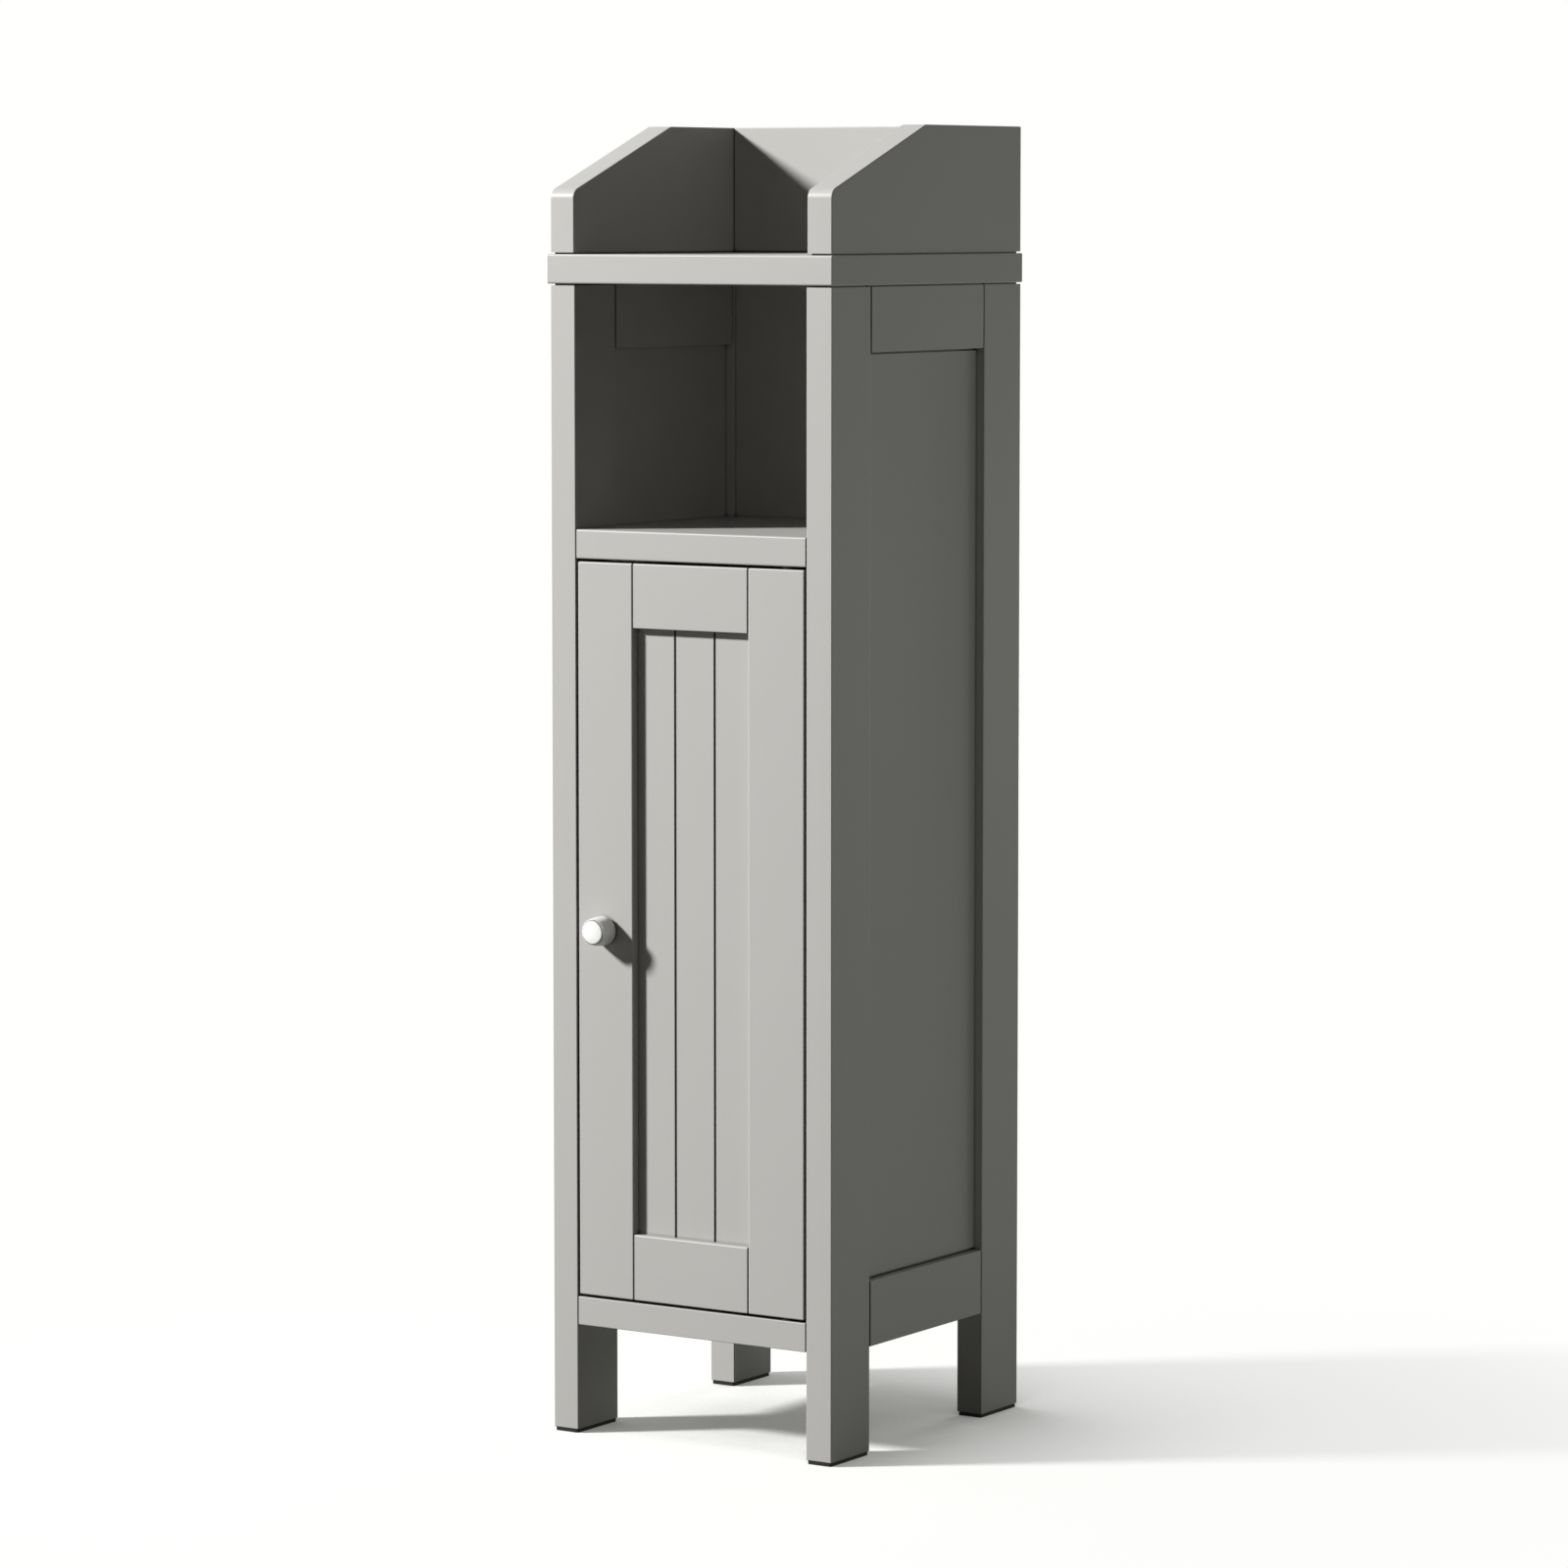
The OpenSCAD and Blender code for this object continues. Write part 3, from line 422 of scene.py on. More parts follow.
def cam_alloy(name):
    """Die-cast zinc, dull from the mould."""
    return grainy(name, ((0.36, 0.37, 0.38), (0.52, 0.53, 0.54)), (1500, 3),
                  (0.45, 0.15), 0.04 * MM, Metallic=1.0)


def nylon(name):
    return grainy(name, ((0.022, 0.022, 0.022), (0.036, 0.036, 0.035)), (900, 2),
                  (0.42, 0.1), 0.015 * MM)


def catch_plastic(name):
    return grainy(name, ((0.80, 0.80, 0.77), (0.86, 0.86, 0.83)), (1200, 2),
                  (0.32, 0.1), 0.01 * MM)


def magnet(name):
    """Sintered ferrite, nearly black."""
    return grainy(name, ((0.035, 0.035, 0.04), (0.10, 0.10, 0.11)), (3000, 4, 0.7),
                  (0.5, 0.25), 0.05 * MM, Metallic=0.4)


MADE = {}


def finish(look):
    """The material of a function that builds one, or paint with its grain along an axis."""
    name, build = (look.__name__, look) if callable(look) else (f"paint_{look}", painted_wood)
    if name not in MADE:
        MADE[name] = build(name).material
    return MADE[name]


# --- mesh making


def rectangle(u0, v0, u1, v1):
    return [(u0, v0), (u1, v0), (u1, v1), (u0, v1)]


def filleted(points, radii, steps=10):
    """Outline with an arc of the given radius at each corner that radii names."""
    outline = []
    for i, point in enumerate(points):
        if i not in radii:
            outline.append(point)
            continue
        here = Vector(point)
        before = (Vector(points[i - 1]) - here).normalized()
        after = (Vector(points[(i + 1) % len(points)]) - here).normalized()
        half = before.angle(after) / 2
        reach = radii[i] / math.tan(half)
        centre = here + (before + after).normalized() * (radii[i] / math.sin(half))
        start, end = here + before * reach - centre, here + after * reach - centre
        turn = start.angle_signed(end)
        outline += [tuple(centre + Matrix.Rotation(-turn * k / steps, 2) @ start)
                    for k in range(steps + 1)]
    return outline


def skin(rings, hollow=False):
    """Solid whose skin runs from ring to ring of points, and from last to first if hollow."""
    bm = bmesh.new()
    rings = [[bm.verts.new(point) for point in ring] for ring in rings]
    pairs = list(zip(rings, rings[1:]))
    if hollow:
        pairs.append((rings[-1], rings[0]))
    for lower, upper in pairs:
        count = max(len(lower), len(upper))
        for k in range(count):
            n = (k + 1) % count
            corners = [lower[k % len(lower)], lower[n % len(lower)],
                       upper[n % len(upper)], upper[k % len(upper)]]
            bm.faces.new(list(dict.fromkeys(corners)))
    for ring in (rings[0], rings[-1]):
        if len(ring) > 1 and not hollow:
            bm.faces.new(ring)
    bmesh.ops.recalc_face_normals(bm, faces=bm.faces[:])
    return bm


def around(radii, z):
    """Ring of points round the Z axis, one for each radius."""
    turn = 2 * math.pi / len(radii)
    return [(r * math.cos(turn * k), r * math.sin(turn * k), z) for k, r in enumerate(radii)]


def prism(outline, axis, low, high):
    """Solid of an outline in the other two axes between two places along an axis."""
    def point(u, v, w):
        return {"X": (w, u, v), "Y": (u, w, v), "Z": (u, v, w)}[axis]
    return skin([[point(u, v, w) for u, v in outline] for w in (low, high)])


def block(low, high):
    return prism(rectangle(low[0], low[1], high[0], high[1]), "Z", low[2], high[2])


def moved(bm, matrix):
    bm.transform(matrix)
    return bm


def lathe(profile, axis="Z", centre=(0, 0, 0), steps=32):
    """Solid turned about an axis from points of radius and place along it."""
    bm = skin([around([radius] * steps if radius else [0], along) for radius, along in profile],
              hollow=profile[0][0] > 0)
    turned = {"X": Matrix.Rotation(math.pi / 2, 4, "Y"),
              "Y": Matrix.Rotation(-math.pi / 2, 4, "X"),
              "Z": Matrix.Identity(4)}[axis]
    return moved(bm, Matrix.Translation(centre) @ turned)


def rod(radius, start, end):
    """Profile of a plain round bar."""
    return [(0, start), (radius, start), (radius, end), (0, end)]


def arc(r, z, radius, start, end, steps=6):
    """Profile points of an arc about a point, between two angles in degrees."""
    return [
        (r + radius * math.cos(math.radians(start + (end - start) * k / steps)),
         z + radius * math.sin(math.radians(start + (end - start) * k / steps)))
        for k in range(steps + 1)]


def joined(parts):
    """One bmesh of several, which are used up."""
    whole = bmesh.new()
    for part in parts:
        mesh = bpy.data.meshes.new("part")
        part.to_mesh(mesh)
        part.free()
        whole.from_mesh(mesh)
        bpy.data.meshes.remove(mesh)
    return whole


def weigh(bm, radius, test):
    """Marks the edges that pass a test to be rounded by that radius."""
    layer = (bm.edges.layers.float.get("bevel_weight_edge")
             or bm.edges.layers.float.new("bevel_weight_edge"))
    for edge in bm.edges:
        if test(edge):
            edge[layer] = radius / LARGEST_ROUND


def sharp(edge, least=math.radians(50)):
    return len(edge.link_faces) == 2 and edge.calc_face_angle(0) > least


def box_edge(low, high):
    """Test for edges that lie along an edge of that box."""
    def sides(point):
        return {(k, end) for k in range(3)
                for end, plane in enumerate((low, high)) if abs(point[k] - plane[k]) < NEAR}

    def test(edge):
        a, b = (sides(v.co) for v in edge.verts)
        return len(a & b) >= 2
    return test


def rounded(low, high, radius):
    """Block whose edges are marked to be rounded."""
    bm = block(low, high)
    weigh(bm, radius, box_edge(low, high))
    return bm


def plate(corners, radius, axis, low, high, rim):
    """Flat rectangular piece with round corners and a soft rim."""
    outline = filleted(rectangle(*corners), dict.fromkeys(range(4), radius), 6)
    bm = prism(outline, axis, low, high)
    weigh(bm, rim, sharp)
    return bm


def placed(name, data):
    """New object in the scene."""
    made = bpy.data.objects.new(name, data)
    bpy.context.scene.collection.objects.link(made)
    return made


def object_of(name, bm):
    mesh = bpy.data.meshes.new(name)
    bm.to_mesh(mesh)
    bm.free()
    return placed(name, mesh)


def bmesh_of(mesh):
    bm = bmesh.new()
    bm.from_mesh(mesh)
    return bm


def settle(made):
    """Replaces an object's mesh by what its modifiers make of it."""
    depsgraph = bpy.context.evaluated_depsgraph_get()
    mesh = bpy.data.meshes.new_from_object(made.evaluated_get(depsgraph), depsgraph=depsgraph)
    old = made.data
    made.modifiers.clear()
    made.data = mesh
    mesh.name = made.name
    bpy.data.meshes.remove(old)


def carve(made, tools, operation="DIFFERENCE"):
    """Cuts shapes out of an object one by one, or adds them with UNION."""
    for tool_bm in tools:
        tool = object_of("tool", tool_bm)
        change = made.modifiers.new("change", "BOOLEAN")
        change.operation = operation
        change.solver = "EXACT"
        change.object = tool
        settle(made)
        bpy.data.objects.remove(tool)


def carved(bm, tools, operation="DIFFERENCE"):
    """What carve makes of a bmesh."""
    made = object_of("carved", bm)
    carve(made, tools, operation)
    bm = bmesh_of(made.data)
    bpy.data.objects.remove(made)
    return bm


def mend(made):
    """Takes out the slivers that cutting leaves."""
    bm = bmesh_of(made.data)
    bmesh.ops.remove_doubles(bm, verts=bm.verts[:], dist=NEAR)
    bmesh.ops.dissolve_degenerate(bm, edges=bm.edges[:], dist=NEAR)
    bm.to_mesh(made.data)
    bm.free()


def piece(kind, node, bm, *looks, cuts=(), tongue=None, segments=3, smooth_to=40):
    """Makes a finished piece that stands for a CAD node and rides with it."""
    made = object_of(f"{kind}_{node}", bm)
    rounding = made.modifiers.new("rounding", "BEVEL")
    rounding.limit_method = "WEIGHT"
    rounding.offset_type = "OFFSET"
    rounding.width = LARGEST_ROUND
    rounding.segments = segments
    settle(made)
    if tongue:
        carve(made, [tongue], "UNION")
    carve(made, cuts)
    mend(made)
    made.data.shade_smooth()
    made.data.set_sharp_from_angle(angle=math.radians(smooth_to))
    made.modifiers.new("even_shading", "WEIGHTED_NORMAL").keep_sharp = True
    settle(made)
    made.data.materials.clear()
    for look in looks:
        made.data.materials.append(finish(look))
    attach(made, BODY_OF[node])
    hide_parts(node)


# --- places in the CAD model


def solids_of(node):
    """Lowest and highest corner of each separate solid in a CAD node."""
    bm = bmesh_of(frame["nodes"][node].data)
    bmesh.ops.remove_doubles(bm, verts=bm.verts[:], dist=NEAR)
    left, boxes = set(bm.verts), []
    while left:
        island, queue = [], [left.pop()]
        while queue:
            vert = queue.pop()
            island.append(vert.co.copy())
            for edge in vert.link_edges:
                other = edge.other_vert(vert)
                if other in left:
                    left.remove(other)
                    queue.append(other)
        boxes.append((Vector(map(min, *island)), Vector(map(max, *island))))
    bm.free()
    return sorted(boxes, key=lambda box: tuple(round(c, 5) for c in box[0]))


def middle(low, high, **given):
    """Middle of a box, moved to the coordinates that are given."""
    point = (low + high) / 2
    for axis, place in given.items():
        setattr(point, axis, place)
    return point


def grown(low, high, by):
    return Vector(low) - Vector(by), Vector(high) + Vector(by)


def joint_lines(low, high, end, faces, line=None):
    """Cutters for a fine line round one end of a box, along the faces that are named."""
    line, depth = line or joinery().joint_line, joinery().joint_depth

    def slab(box, face, thick):
        """The part of a box within a distance of one face of the piece."""
        near, far = box[0].copy(), box[1].copy()
        k = "XYZ".index(face[-1])
        if face[0] == "+":
            near[k] = high[k] - thick
        else:
            far[k] = low[k] + thick
        return near, far
    ring = slab(grown(low, high, (BEYOND,) * 3), end, line)
    return [block(*slab(ring, face, depth)) for face in faces]


def end_lines(low, high, face="-Y"):
    """Fine lines at both ends of a board, in one of its faces."""
    return [line for end in ("-X", "+X") for line in joint_lines(low, high, end, (face,))]


ALL_ROUND = ("-X", "+X", "-Y", "+Y")


# --- side frames


def leg(side, end):
    """Leg with a groove for the side panel and, at the back, a rebate for the back panel."""
    sizes = joinery()
    low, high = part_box(f"{end}_{side}_leg")
    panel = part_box(f"{side}_side_panel")
    foot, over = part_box(f"{side}_bottom_rail")[0].z, high.z + BEYOND
    if end == "front":
        y0, y1 = panel[0].y - sizes.end_play, high.y + BEYOND
    else:
        y0, y1 = low.y - BEYOND, panel[1].y + sizes.end_play
    cuts = [block((panel[0].x - sizes.play, y0, foot), (panel[1].x + sizes.play, y1, over))]
    if end == "back":
        back = grown(*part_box("back_panel"), (sizes.end_play, sizes.play, sizes.play))
        cuts.append(block(back[0], (back[1].x, back[1].y, over)))
    cuts += joint_lines(low, high, "+Z", ALL_ROUND, sizes.seat_line)
    piece("painted", f"{end}_{side}_leg", rounded(low, high, sizes.edge_round), "Z", cuts=cuts)


def rail(node, axis, ends, panel, radius, lines):
    """Rail along an axis, with a tongue at both ends and a groove for a panel."""
    sizes = joinery()
    low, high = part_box(node)
    tongue = low.copy(), high.copy()
    if axis == "X":
        across, spare = 1, (BEYOND, sizes.play, 0)
    else:
        across, spare = 0, (sizes.play, BEYOND, 0)
    for corner, edge in zip(tongue, panel):
        corner[across] = edge[across]
    groove = grown(*tongue, spare)
    if "top" in node:
        groove[0].z, groove[1].z = low.z - BEYOND, panel[1].z + sizes.end_play
    else:
        groove[0].z, groove[1].z = panel[0].z, high.z + BEYOND
    piece("painted", node, rounded(*ends, radius), axis, cuts=[block(*groove), *lines],
          tongue=block(*tongue))


def side_rail(side, level):
    """Rail with a fine line where it meets the legs and what lies on it."""
    sizes = joinery()
    node = f"{side}_{level}_rail"
    low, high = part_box(node)
    y0, y1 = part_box(f"front_{side}_leg")[1].y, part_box(f"back_{side}_leg")[0].y
    ends = (low.x, y0, low.z), (high.x, y1, high.z)
    lines = [line for end in ("-Y", "+Y")
             for line in joint_lines(*ends, end, ("-X", "+X"), sizes.rail_line)]
    if level == "top":
        lines += joint_lines(*ends, "+Z", ("-X", "+X"), sizes.seat_line)
    rail(node, "Y", ends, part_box(f"{side}_side_panel"), sizes.edge_round, lines)


def side_panel(side):
    """Panel with a fine line on its outer face along both rails."""
    sizes = joinery()
    low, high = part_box(f"{side}_side_panel")
    y0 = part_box(f"front_{side}_leg")[1].y - sizes.end_play
    y1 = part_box(f"back_{side}_leg")[0].y + sizes.end_play
    if side == "left":
        x0, x1 = low.x - BEYOND, low.x + sizes.joint_depth
    else:
        x0, x1 = high.x - sizes.joint_depth, high.x + BEYOND
    top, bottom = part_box(f"{side}_top_rail")[0].z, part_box(f"{side}_bottom_rail")[1].z
    piece("painted", f"{side}_side_panel", rounded(low, high, sizes.edge_round / 2), "Z",
          cuts=[*screw_holes("cleat_screws", side),
                block((x0, y0, top - sizes.panel_line), (x1, y1, top + BEYOND)),
                block((x0, y0, bottom - BEYOND), (x1, y1, bottom + sizes.panel_line))])


# --- boards and tray


def front_edge(low):
    """Test for the two long edges at the front of a board."""
    def test(edge):
        a, b = (v.co for v in edge.verts)
        return (abs(a.y - low.y) < NEAR and abs(b.y - low.y) < NEAR
                and abs(a.z - b.z) < NEAR and sharp(edge))
    return test


def board(node, axis, cuts=(), nosing=False, box=None, tongue=None):
    """Board whose grain runs along an axis, in its node's box if no other is given."""
    low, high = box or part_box(node)
    bm = rounded(low, high, joinery().edge_round)
    if nosing:
        weigh(bm, joinery().nosing_round, front_edge(low))
    piece("painted", node, bm, axis, cuts=cuts, segments=4, tongue=tongue)


def fixed_shelf():
    """The shelf runs out into the recesses of the side frames between the legs."""
    low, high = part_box("fixed_shelf")
    front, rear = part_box("front_right_leg"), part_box("back_right_leg")
    half = front[0].x
    ends = Vector((-half, low.y, low.z)), Vector((half, high.y, high.z))
    cuts = cam_holes(low, high) + screw_holes("catch_screws") + bush_hole("upper_bush")
    board("fixed_shelf", "X", cuts + end_lines(*ends), nosing=True, box=ends,
          tongue=block((low.x, front[1].y, low.z), (high.x, rear[0].y, high.z)))


def guard(side):
    """Side guard of the tray, which slopes down to the front."""
    sizes = joinery()
    low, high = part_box(f"{side}_guard")
    depth, height = high.y - low.y, high.z - low.z
    corners = [(0, 0), (depth, 0), (depth, height), (sizes.guard_run, height),
               (0, sizes.guard_front)]
    outline = [(low.y + u, low.z + v) for u, v in filleted(
        corners, {3: sizes.guard_crest, 4: sizes.guard_corner})]
    bm = prism(outline, "X", low.x, high.x)
    weigh(bm, sizes.guard_round, sharp)
    piece("painted", f"{side}_guard", bm, "Y", segments=4,
          cuts=joint_lines(low, high, "-Z", ALL_ROUND, sizes.seat_line))


# --- door


def door_stile(side):
    """Upright of the door's frame, with the groove that holds boards and rails."""
    sizes = joinery()
    node = f"door_{side}_stile"
    low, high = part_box(node)
    tongue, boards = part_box("door_top_rail"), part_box("door_left_board")
    y0, y1 = boards[0].y - sizes.play, boards[1].y + sizes.play
    if side == "right":
        inner, outer, floor = low.x, high.x, tongue[1].x + sizes.end_play
    else:
        inner, outer, floor = high.x, low.x, tongue[0].x - sizes.end_play
    bm = prism([(inner, low.y), (outer, low.y), (outer, high.y), (inner, high.y),
                (inner, y1), (floor, y1), (floor, y0), (inner, y0)], "Z", low.z, high.z)
    weigh(bm, sizes.door_round, box_edge(low, high))
    piece("painted", node, bm, "Z",
          cuts=screw_holes("strike_screw") + knob_hole() if side == "left" else ())


def door_rail(level):
    """Rail with a fine line where it meets the stiles, in front and behind."""
    node = f"door_{level}_rail"
    low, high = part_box(node)
    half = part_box("door_right_stile")[0].x
    ends = (-half, low.y, low.z), (half, high.y, high.z)
    rail(node, "X", ends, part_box("door_left_board"), joinery().door_round,
         end_lines(*ends) + end_lines(*ends, "+Y"))


def door_board(place):
    """One tongue-and-groove board; the groove that shows is half in each of two boards."""
    sizes = joinery()
    node = f"door_{place}_board"
    low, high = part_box(node)
    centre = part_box("door_middle_board")
    tongue = centre[1].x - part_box("door_right_board")[0].x
    left_joint, right_joint = centre[0].x, centre[1].x - tongue
    third = (high.y - low.y) / 3
    y_front, y_back = low.y + third, high.y - third
    half = sizes.board_groove / 2
    if place == "left":
        outline = [(low.x, high.y), (low.x, low.y)]
    else:
        edge = left_joint if place == "middle" else right_joint
        floor = edge + tongue + sizes.play
        outline = [(edge, high.y), (edge, y_back + sizes.play), (floor, y_back + sizes.play),
                   (floor, y_front - sizes.play), (edge + half, y_front - sizes.play),
                   (edge + half, low.y)]
    if place == "right":
        outline += [(high.x, low.y), (high.x, high.y)]
    else:
        edge = left_joint if place == "left" else right_joint
        outline += [(edge - half, low.y), (edge - half, y_front), (edge + tongue, y_front),
                    (edge + tongue, y_back), (edge, y_back), (edge, high.y)]
    bm = prism(outline, "Z", low.z, high.z)

    def lips(edge):
        a, b = (v.co for v in edge.verts)
        return (abs(a.z - b.z) > 1 * MM and abs(a.y - low.y) < NEAR
                and abs(abs(a.x) - abs(left_joint)) < sizes.board_groove)
    weigh(bm, sizes.board_round, lips)
    piece("painted", node, bm, "Z")


def knob_hole():
    low, high = solids_of("knob_screw")[0]
    return [lathe(rod(SHANK_R + FIT, low.y, high.y), "Y", middle(low, high, y=0), 24)]


def knob():
    """Turned knob: neck, round side that narrows forward, and a raised face in a fine line."""
    low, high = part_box("knob")
    rim, reach = (high.x - low.x) / 2, high.y - low.y
    neck_r, neck_h, cove, lip = mm(8, 2.6, 0.5, 1.6)
    face_r, shoulder_r, line, deep = mm(10.4, 11.9, 0.9, 1.4)
    proud, crown, soft = mm(1.3, 0.35, 0.5)
    side_low, side_high = neck_h + lip, reach - proud - soft
    steps, narrowing = 14, 2.2
    profile = [
        (0, 0), (neck_r, 0), *arc(neck_r + cove, neck_h - cove, cove, 180, 100, 4),
        *arc(rim - lip, side_low, lip, -90, 0, 8),
        *((rim - (rim - shoulder_r) * (k / steps) ** narrowing,
           side_low + (side_high - side_low) * k / steps) for k in range(1, steps)),
        *arc(shoulder_r - soft, side_high, soft, 10, 80),
        (face_r + line, reach - proud), (face_r + line, reach - proud - deep),
        (face_r, reach - proud - deep),
        *arc(face_r - soft, reach - crown - soft, soft, 0, 80),
        *((r * face_r / 10, reach - crown * (r / 10) ** 2) for r in range(9, 0, -1)),
        (0, reach)]
    bm = lathe([(r, -along) for r, along in profile], "Y", middle(low, high, y=high.y), 96)
    piece("turned", "knob", bm, knob_white, smooth_to=48)


# --- feet


def foot_pad_under(place):
    """Glide pad with round corners and a sunk hole for its nail."""
    low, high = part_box(f"{place}_pad")
    corner, rim = mm(2, 0.35)
    sink_r, nail_r, sink, through = mm(3.05, 1.25, 1.4, 4)
    bm = plate((low.x, low.y, high.x, high.y), corner, "Z", low.z, high.z, rim)
    hole = lathe([(0, -BEYOND), (sink_r, -BEYOND), (sink_r, sink), (nail_r, sink),
                  (nail_r, through), (0, through)], "Z", middle(low, high, z=0))
    piece("glide", f"{place}_pad", bm, foot_pad, cuts=[hole])


def pad_nails():
    """Domed nails with barbs under the head."""
    head_r, head_t, r, point = mm(3, 0.8, 1.2, 2.4)
    parts = []
    for low, high in solids_of("pad_nails"):
        length = high.z - low.z
        profile = [(0, 0), (head_r * 0.6, 0.05 * MM), (head_r * 0.92, 0.25 * MM),
                   (head_r, 0.5 * MM), (head_r, head_t), (r * 0.9, head_t)]
        for k in range(5):
            base = head_t + (0.6 + 0.7 * k) * MM
            profile += [(r * 0.86, base), (r, base + 0.35 * MM), (r * 0.86, base + 0.4 * MM)]
        profile += [(r * 0.9, length - point), (0, length)]
        parts.append(lathe(profile, "Z", middle(low, high, z=low.z), 24))
    piece("driven", "pad_nails", joined(parts), zinc_steel)


# --- screws and fixings


PAN_HEADS = ("catch_screws", "bracket_screws", "knob_screw")
WAY_IN = {"top_screws": -Z, "back_panel_screws": -Y, "catch_screws": Z, "bracket_screws": -Z,
          "knob_screw": -Y, "strike_screw": -Y}


def screw_run(node, across=1):
    """Place of the head's top, way in, length and greatest radius of each screw in a node.
    Screws that WAY_IN leaves out go out to the nearer side. The radius is measured along the
    axis that many places on from the screw's own."""
    found = []
    for low, high in solids_of(node):
        head = middle(low, high)
        way = WAY_IN.get(node) or (X if head.x > 0 else -X)
        k = max(range(3), key=lambda axis: abs(way[axis]))
        head[k] = low[k] if way[k] > 0 else high[k]
        n = (k + across) % 3
        found.append((head, way, high[k] - low[k], (high[n] - low[n]) / 2))
    return found


def turned_to(way, place):
    """Moves a shape that points down from the origin to point a way from a place."""
    return Matrix.Translation(place) @ (-Z).rotation_difference(way).to_matrix().to_4x4()


def threaded_shank(start, length, radius, pitch, core=0.68):
    """Shank with a helical thread, from start down, ending in a point."""
    around_it, per_turn, steep, point, blunt = 16, 6, 4.2, 2.2, 0.02
    rows = max(2, int((length - start) / pitch * per_turn))
    rings = []
    for row in range(rows + 1):
        z = start + (length - start) * row / rows
        taper = min(1, (length - z) / (point * radius) + blunt)
        radii = []
        for k in range(around_it):
            phase = (z / pitch - k / around_it) % 1
            crest = max(0, 1 - abs(phase - 0.5) * steep)
            radii.append(radius * taper * (core + (1 - core) * crest))
        rings.append(around(radii, -z))
    return skin(rings)


def screw_head(pan, head_r):
    """Profile of a head with its neck, from its top at zero down, and where the thread starts."""
    height, neck, neck_r = head_r - SHANK_R, 2.2 * MM, SHANK_R * 0.8
    if pan:
        dome = 1.1 * MM
        profile = [(0, 0), *arc(head_r - dome, -dome, dome, 90, 0), (head_r, -height),
                   (neck_r, -height)]
    else:
        rim, chamfer = mm(0.25, 0.1)
        profile = [(0, 0), (head_r - chamfer, 0), (head_r, -chamfer), (head_r, -rim),
                   (SHANK_R, -height - rim)]
    return profile + [(neck_r, -height - neck), (0, -height - neck)], height + neck * 0.8


def cross_cutter():
    """Cross with four fine extra rays, as a driver's recess has."""
    parts = []
    for turn in range(4):
        width, reach, deep = mm(0.95, 1.9, 1.3)
        if turn % 2:
            width, reach, deep = 0.35 * MM, reach * 0.62, deep * 0.5
        bar = prism([(-reach, 0.5 * MM), (reach, 0.5 * MM), (reach * 0.45, -deep),
                     (-reach * 0.45, -deep)], "Y", -width / 2, width / 2)
        parts.append(moved(bar, Matrix.Rotation(math.pi / 4 * turn, 4, "Z")))
    return parts


def screws(node, pitch=1.8 * MM):
    """Screws with a driver's recess and a thread."""
    parts = []
    for head, way, length, head_r in screw_run(node):
        profile, start = screw_head(node in PAN_HEADS, head_r)
        part = joined([carved(lathe(profile), cross_cutter()),
                       threaded_shank(start, length, SHANK_R, pitch)])
        parts.append(moved(part, turned_to(way, head)))
    piece("threaded", node, joined(parts), zinc_steel, smooth_to=32)


def screw_holes(node, side=None):
    """Cutters for the countersunk or plain holes of the screws in a node."""
    play, sunk, past = mm(0.06, 0.25, 0.4)
    r = SHANK_R + play
    cutters = []
    for head, way, length, head_r in screw_run(node):
        if side and (head.x > 0) != (side == "right"):
            continue
        if node in PAN_HEADS:
            profile = rod(r, 0, -length)
        else:
            profile = [(0, BEYOND), (head_r + play, BEYOND), (head_r + play, -sunk),
                       (r, SHANK_R - head_r - sunk), (r, -length - past), (0, -length - past)]
        cutters.append(moved(lathe(profile), turned_to(way, head)))
    return cutters


def dowels(node):
    """Fluted dowels with chamfered ends."""
    flutes, per_flute, dip = 12, 4, 0.93
    chamfer, tip = 1 * MM, 0.78
    parts = []
    for low, high in solids_of(node):
        size = high - low
        axis = max(range(3), key=lambda k: size[k])
        half, r = size[axis] / 2, min(size) / 2
        part = skin([
            around([r * share * (1 if k % per_flute else dip)
                    for k in range(flutes * per_flute)], along)
            for along, share in ((-half, tip), (-half + chamfer, 1), (half - chamfer, 1),
                                 (half, tip))])
        turn = Z.rotation_difference((X, Y, Z)[axis]).to_matrix().to_4x4()
        parts.append(moved(part, Matrix.Translation(middle(low, high)) @ turn))
    piece("fluted", node, joined(parts), beech, smooth_to=25)


def cam_holes(board_low, board_high):
    """Cutters for the cam locks that sit in the underside of one board."""
    return [lathe(rod((high.x - low.x) / 2 + FIT, low.z - BEYOND, high.z), "Z",
                  middle(low, high, z=0), 40)
            for low, high in solids_of("cam_locks")
            if board_low.z - BEYOND < low.z < board_high.z]


def cam_locks():
    """Cast cam locks: a rim, a cross slot in the face and a way in for the bolt's head."""
    slot, reach, deep, bolt_r, near, far, down = mm(0.65, 4.4, 3, 3.6, 2.2, 9, 4)
    parts = []
    for low, high in solids_of("cam_locks"):
        centre = middle(low, high, z=low.z)
        r, height = (high.x - low.x) / 2, high.z - low.z
        waist = r - 0.35 * MM
        profile = [(0, 0.25 * MM), (r - 1.5 * MM, 0.25 * MM), (r - 1.2 * MM, 0),
                   (r - 0.3 * MM, 0), (r, 0.3 * MM), (r, 1.6 * MM), (waist, 1.9 * MM),
                   (waist, height - 0.5 * MM), (r - 0.8 * MM, height), (0, height)]
        out = 1 if centre.x > 0 else -1
        part = carved(lathe(profile, steps=48), [
            block((-reach, -slot, -BEYOND), (reach, slot, deep)),
            block((-slot, -reach, -BEYOND), (slot, reach, deep)),
            lathe(rod(bolt_r, -out * near, out * far), "X", (0, 0, height - down))])
        parts.append(moved(part, Matrix.Translation(centre)))
    piece("cast", "cam_locks", joined(parts), cam_alloy, smooth_to=32)


